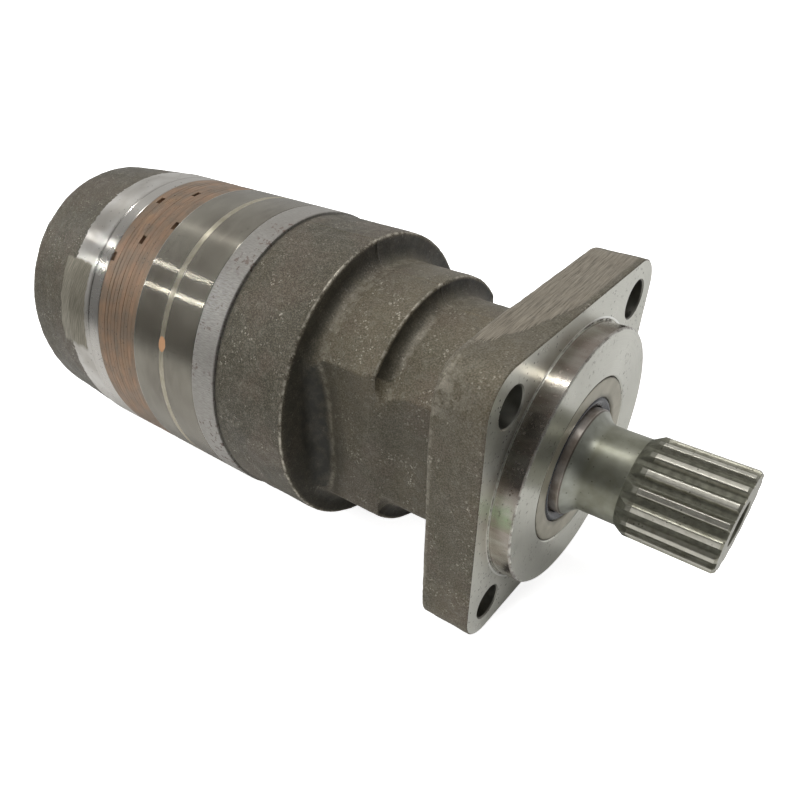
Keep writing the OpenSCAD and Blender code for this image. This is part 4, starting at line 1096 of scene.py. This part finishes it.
def dust_seal():
    """The dust seal: a pressed case, dull and a little dished, and a black lip on the journal"""
    lip_r = JOURNAL_R + 5
    out = DUST_SEAL_R - 0.15
    face = X_PILOT - 0.15
    case = turned("dust_seal_pressed_case", [
        [X_DUST_FLOOR, lip_r], [X_DUST_FLOOR, out], [face - 0.5, out], [face - 0.12, out - 0.15],
        [face, out - 0.5], [face - 0.05, out - 2], [face - 0.15, lip_r + 2.2], [face - 0.1, lip_r + 0.2],
        [face - 0.3, lip_r - 0.6], [face - 0.8, lip_r - 1], [face - 1.2, lip_r - 1], [face - 1.2, lip_r]],
        spread(256), crease=50)
    paint(case, SEAL_CASE)
    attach(case, "housing")
    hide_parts("dust_seal_case")
    wipe = JOURNAL_R + 0.05
    lip = turned("dust_seal_rubber_lip", [
        [X_DUST_FLOOR, lip_r], [X_DUST_FLOOR, wipe + 1.6], [X_DUST_FLOOR + 3.2, wipe],
        [X_DUST_FLOOR + 4, wipe], [face - 1.6, wipe + 0.3], [face - 1.1, wipe + 0.8],
        [face - 0.9, wipe + 1.6], [face - 0.45, wipe + 2.2], [face - 0.3, wipe + 2.8],
        [face - 0.45, wipe + 3.4], [face - 1.25, wipe + 3.9], [face - 1.25, lip_r]], spread(256), crease=70)
    paint(lip, RUBBER)
    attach(lip, "housing")
    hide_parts("dust_seal_lip")


def cover_bolts():
    """Seven hexagon screws with a washer face and a chamfered head"""
    theta = spread(96, [30 + 60 * k for k in range(6)], 3, 4)
    flat, top = HEAD_FLATS / 2, X_BACK - HEAD_H
    hexagon = flat / np.cos((theta + math.pi / 6) % (math.pi / 3) - math.pi / 6)
    corner = flat / math.cos(math.pi / 6)
    head = [(top, 3.0), (top, flat - 0.6), (top + 0.25, flat), (top + 0.85, corner), (X_BACK - 3, corner),
            (X_BACK - 0.7, corner), (X_BACK - 0.5, flat - 0.3)]
    shank = [(X_BACK - 0.02, flat - 0.3), (X_BACK - 0.02, TIE_SHANK_R), (X_BOLT_END - 0.8, TIE_SHANK_R),
             (X_BOLT_END, 4.0)]
    radii = [np.minimum(hexagon, r) for _, r in head] + [np.full(len(theta), float(r)) for _, r in shank]
    unit = skin("hexagon_screw", [x for x, _ in head + shank], np.array(radii), theta, loop=False, crease=25)
    moved(unit, TIE_CIRCLE_R, 0)
    piece = around_axis("cover_bolts_hexagon", unit, ROLLERS, 180 / ROLLERS, False, BLACK)
    finish_mesh(piece.data, 25)
    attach(piece, "housing")
    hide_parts("cover_bolts")


def paint_cad_nodes():
    """Gives each CAD node that stays its finish, by the record's slot"""
    slots = {s["node"]: s["material_slot"] for s in frame["record"]["subparts"]}
    for node, piece in frame["nodes"].items():
        piece.data.materials.clear()
        paint(piece, INNER[slots[node]])


def pale_floor():
    """A floor that the camera sees as white, with a soft grey near the motor. It is darker towards -Y"""
    half, z = 4.0, -BARREL_R * MM - 0.0002
    corners = [(-half, -half, z), (half, -half, z), (half, half, z), (-half, half, z)]
    mesh = bpy.data.meshes.new("floor")
    mesh.from_pydata(corners, [], [(0, 1, 2, 3)])
    floor = new_piece("floor", mesh)
    f = Finish("pale_floor")
    seen = f.add("ShaderNodeLightPath").outputs["Is Camera Ray"]
    far = f.add("ShaderNodeVectorMath", {0: f.place}, operation="LENGTH").outputs["Value"]
    f.color = f.scale(f.y, -0.6, 0.0, 0.35, 0.85)
    glow = f.times(seen, f.scale(far, 0.15, 0.6, 0.82, 1.1))
    paint(floor, f.set(rough=0.95, specular=0.0, glow=glow, glow_color=(1.0, 1.0, 1.0)))


def soft_surround():
    """Light from all round, stronger from +Y and the rear, with a white backdrop for the camera"""
    world = bpy.data.worlds.new("studio")
    bpy.context.scene.world = world
    world.use_nodes = True
    tree = world.node_tree
    ray = add_node(tree, "ShaderNodeTexCoord").outputs["Generated"]
    lean = add_node(tree, "ShaderNodeVectorMath", {0: ray, 1: (-0.16, 0.29, 0.06)}, operation="DOT_PRODUCT")
    shade = add_node(tree, "ShaderNodeMath", {0: lean.outputs["Value"], 1: 0.3}, operation="ADD")
    least = add_node(tree, "ShaderNodeMath", {0: shade.outputs[0], 1: 0.06}, operation="MAXIMUM")
    seen = add_node(tree, "ShaderNodeLightPath").outputs["Is Camera Ray"]
    pick = add_node(tree, "ShaderNodeMix", {0: seen, 2: least.outputs[0], 3: 1.05}, data_type="FLOAT")
    backdrop = tree.nodes["Background"]
    backdrop.inputs["Color"].default_value = (1, 1, 1, 1)
    tree.links.new(pick.outputs[0], backdrop.inputs["Strength"])


# Each lamp: name, place, width and height, power, and whether it is seen mirrored in the metal
LAMPS = [
    ("overhead_soft", (0.05, -0.2, 1.0), (0.7, 0.5), 3.9, False),
    ("side_soft", (-0.45, -0.9, 0.5), (0.6, 0.4), 4.9, False),
    ("ceiling_tube_above", (0.1, 0.0, 1.5), (1.0, 0.05), 6.0, True),
    ("ceiling_tube_far", (-1.414, -0.272, 0.669), (0.06, 0.035), 0.9, True),
    ("ceiling_tube_left", (-1.23, -0.714, 0.676), (0.06, 0.035), 0.9, True),
]


def lamps():
    """The studio's lamps, all aimed at the middle of the motor, with their long side along it"""
    middle = Vector((-0.1, 0.0, 0.0))
    for name, place, wide, power, mirrored in LAMPS:
        data = bpy.data.lights.new(name, "AREA")
        data.shape = "RECTANGLE"
        data.size, data.size_y = wide
        data.energy = power
        lamp = new_piece(name, data)
        lamp.visible_glossy = mirrored
        back = (Vector(place) - middle).normalized()
        along = (Vector((1, 0, 0)) - back * back.x).normalized()
        turn = Matrix((along, back.cross(along), back)).transposed().to_4x4()
        lamp.matrix_world = Matrix.Translation(place) @ turn


def photo_camera():
    """The camera at the photograph's angle"""
    data = bpy.data.cameras.new("camera")
    camera = new_piece("camera", data)
    bpy.context.scene.camera = camera
    data.sensor_width = 36
    data.lens = 32.364
    data.shift_x, data.shift_y = 0.0588, 0.1396
    data.clip_start = 0.01
    camera.matrix_world = Matrix((
        (0.7707, -0.4012, 0.4951, 0.0843),
        (0.6359, 0.5337, -0.5575, -0.2156),
        (-0.0405, 0.7445, 0.6664, 0.1699),
        (0, 0, 0, 1)))


paint_cad_nodes()
front_housing()
stack()
end_cover()
output_shaft()
dust_seal()
cover_bolts()
pale_floor()
soft_surround()
lamps()
photo_camera()
bpy.context.scene.view_settings.view_transform = "Standard"
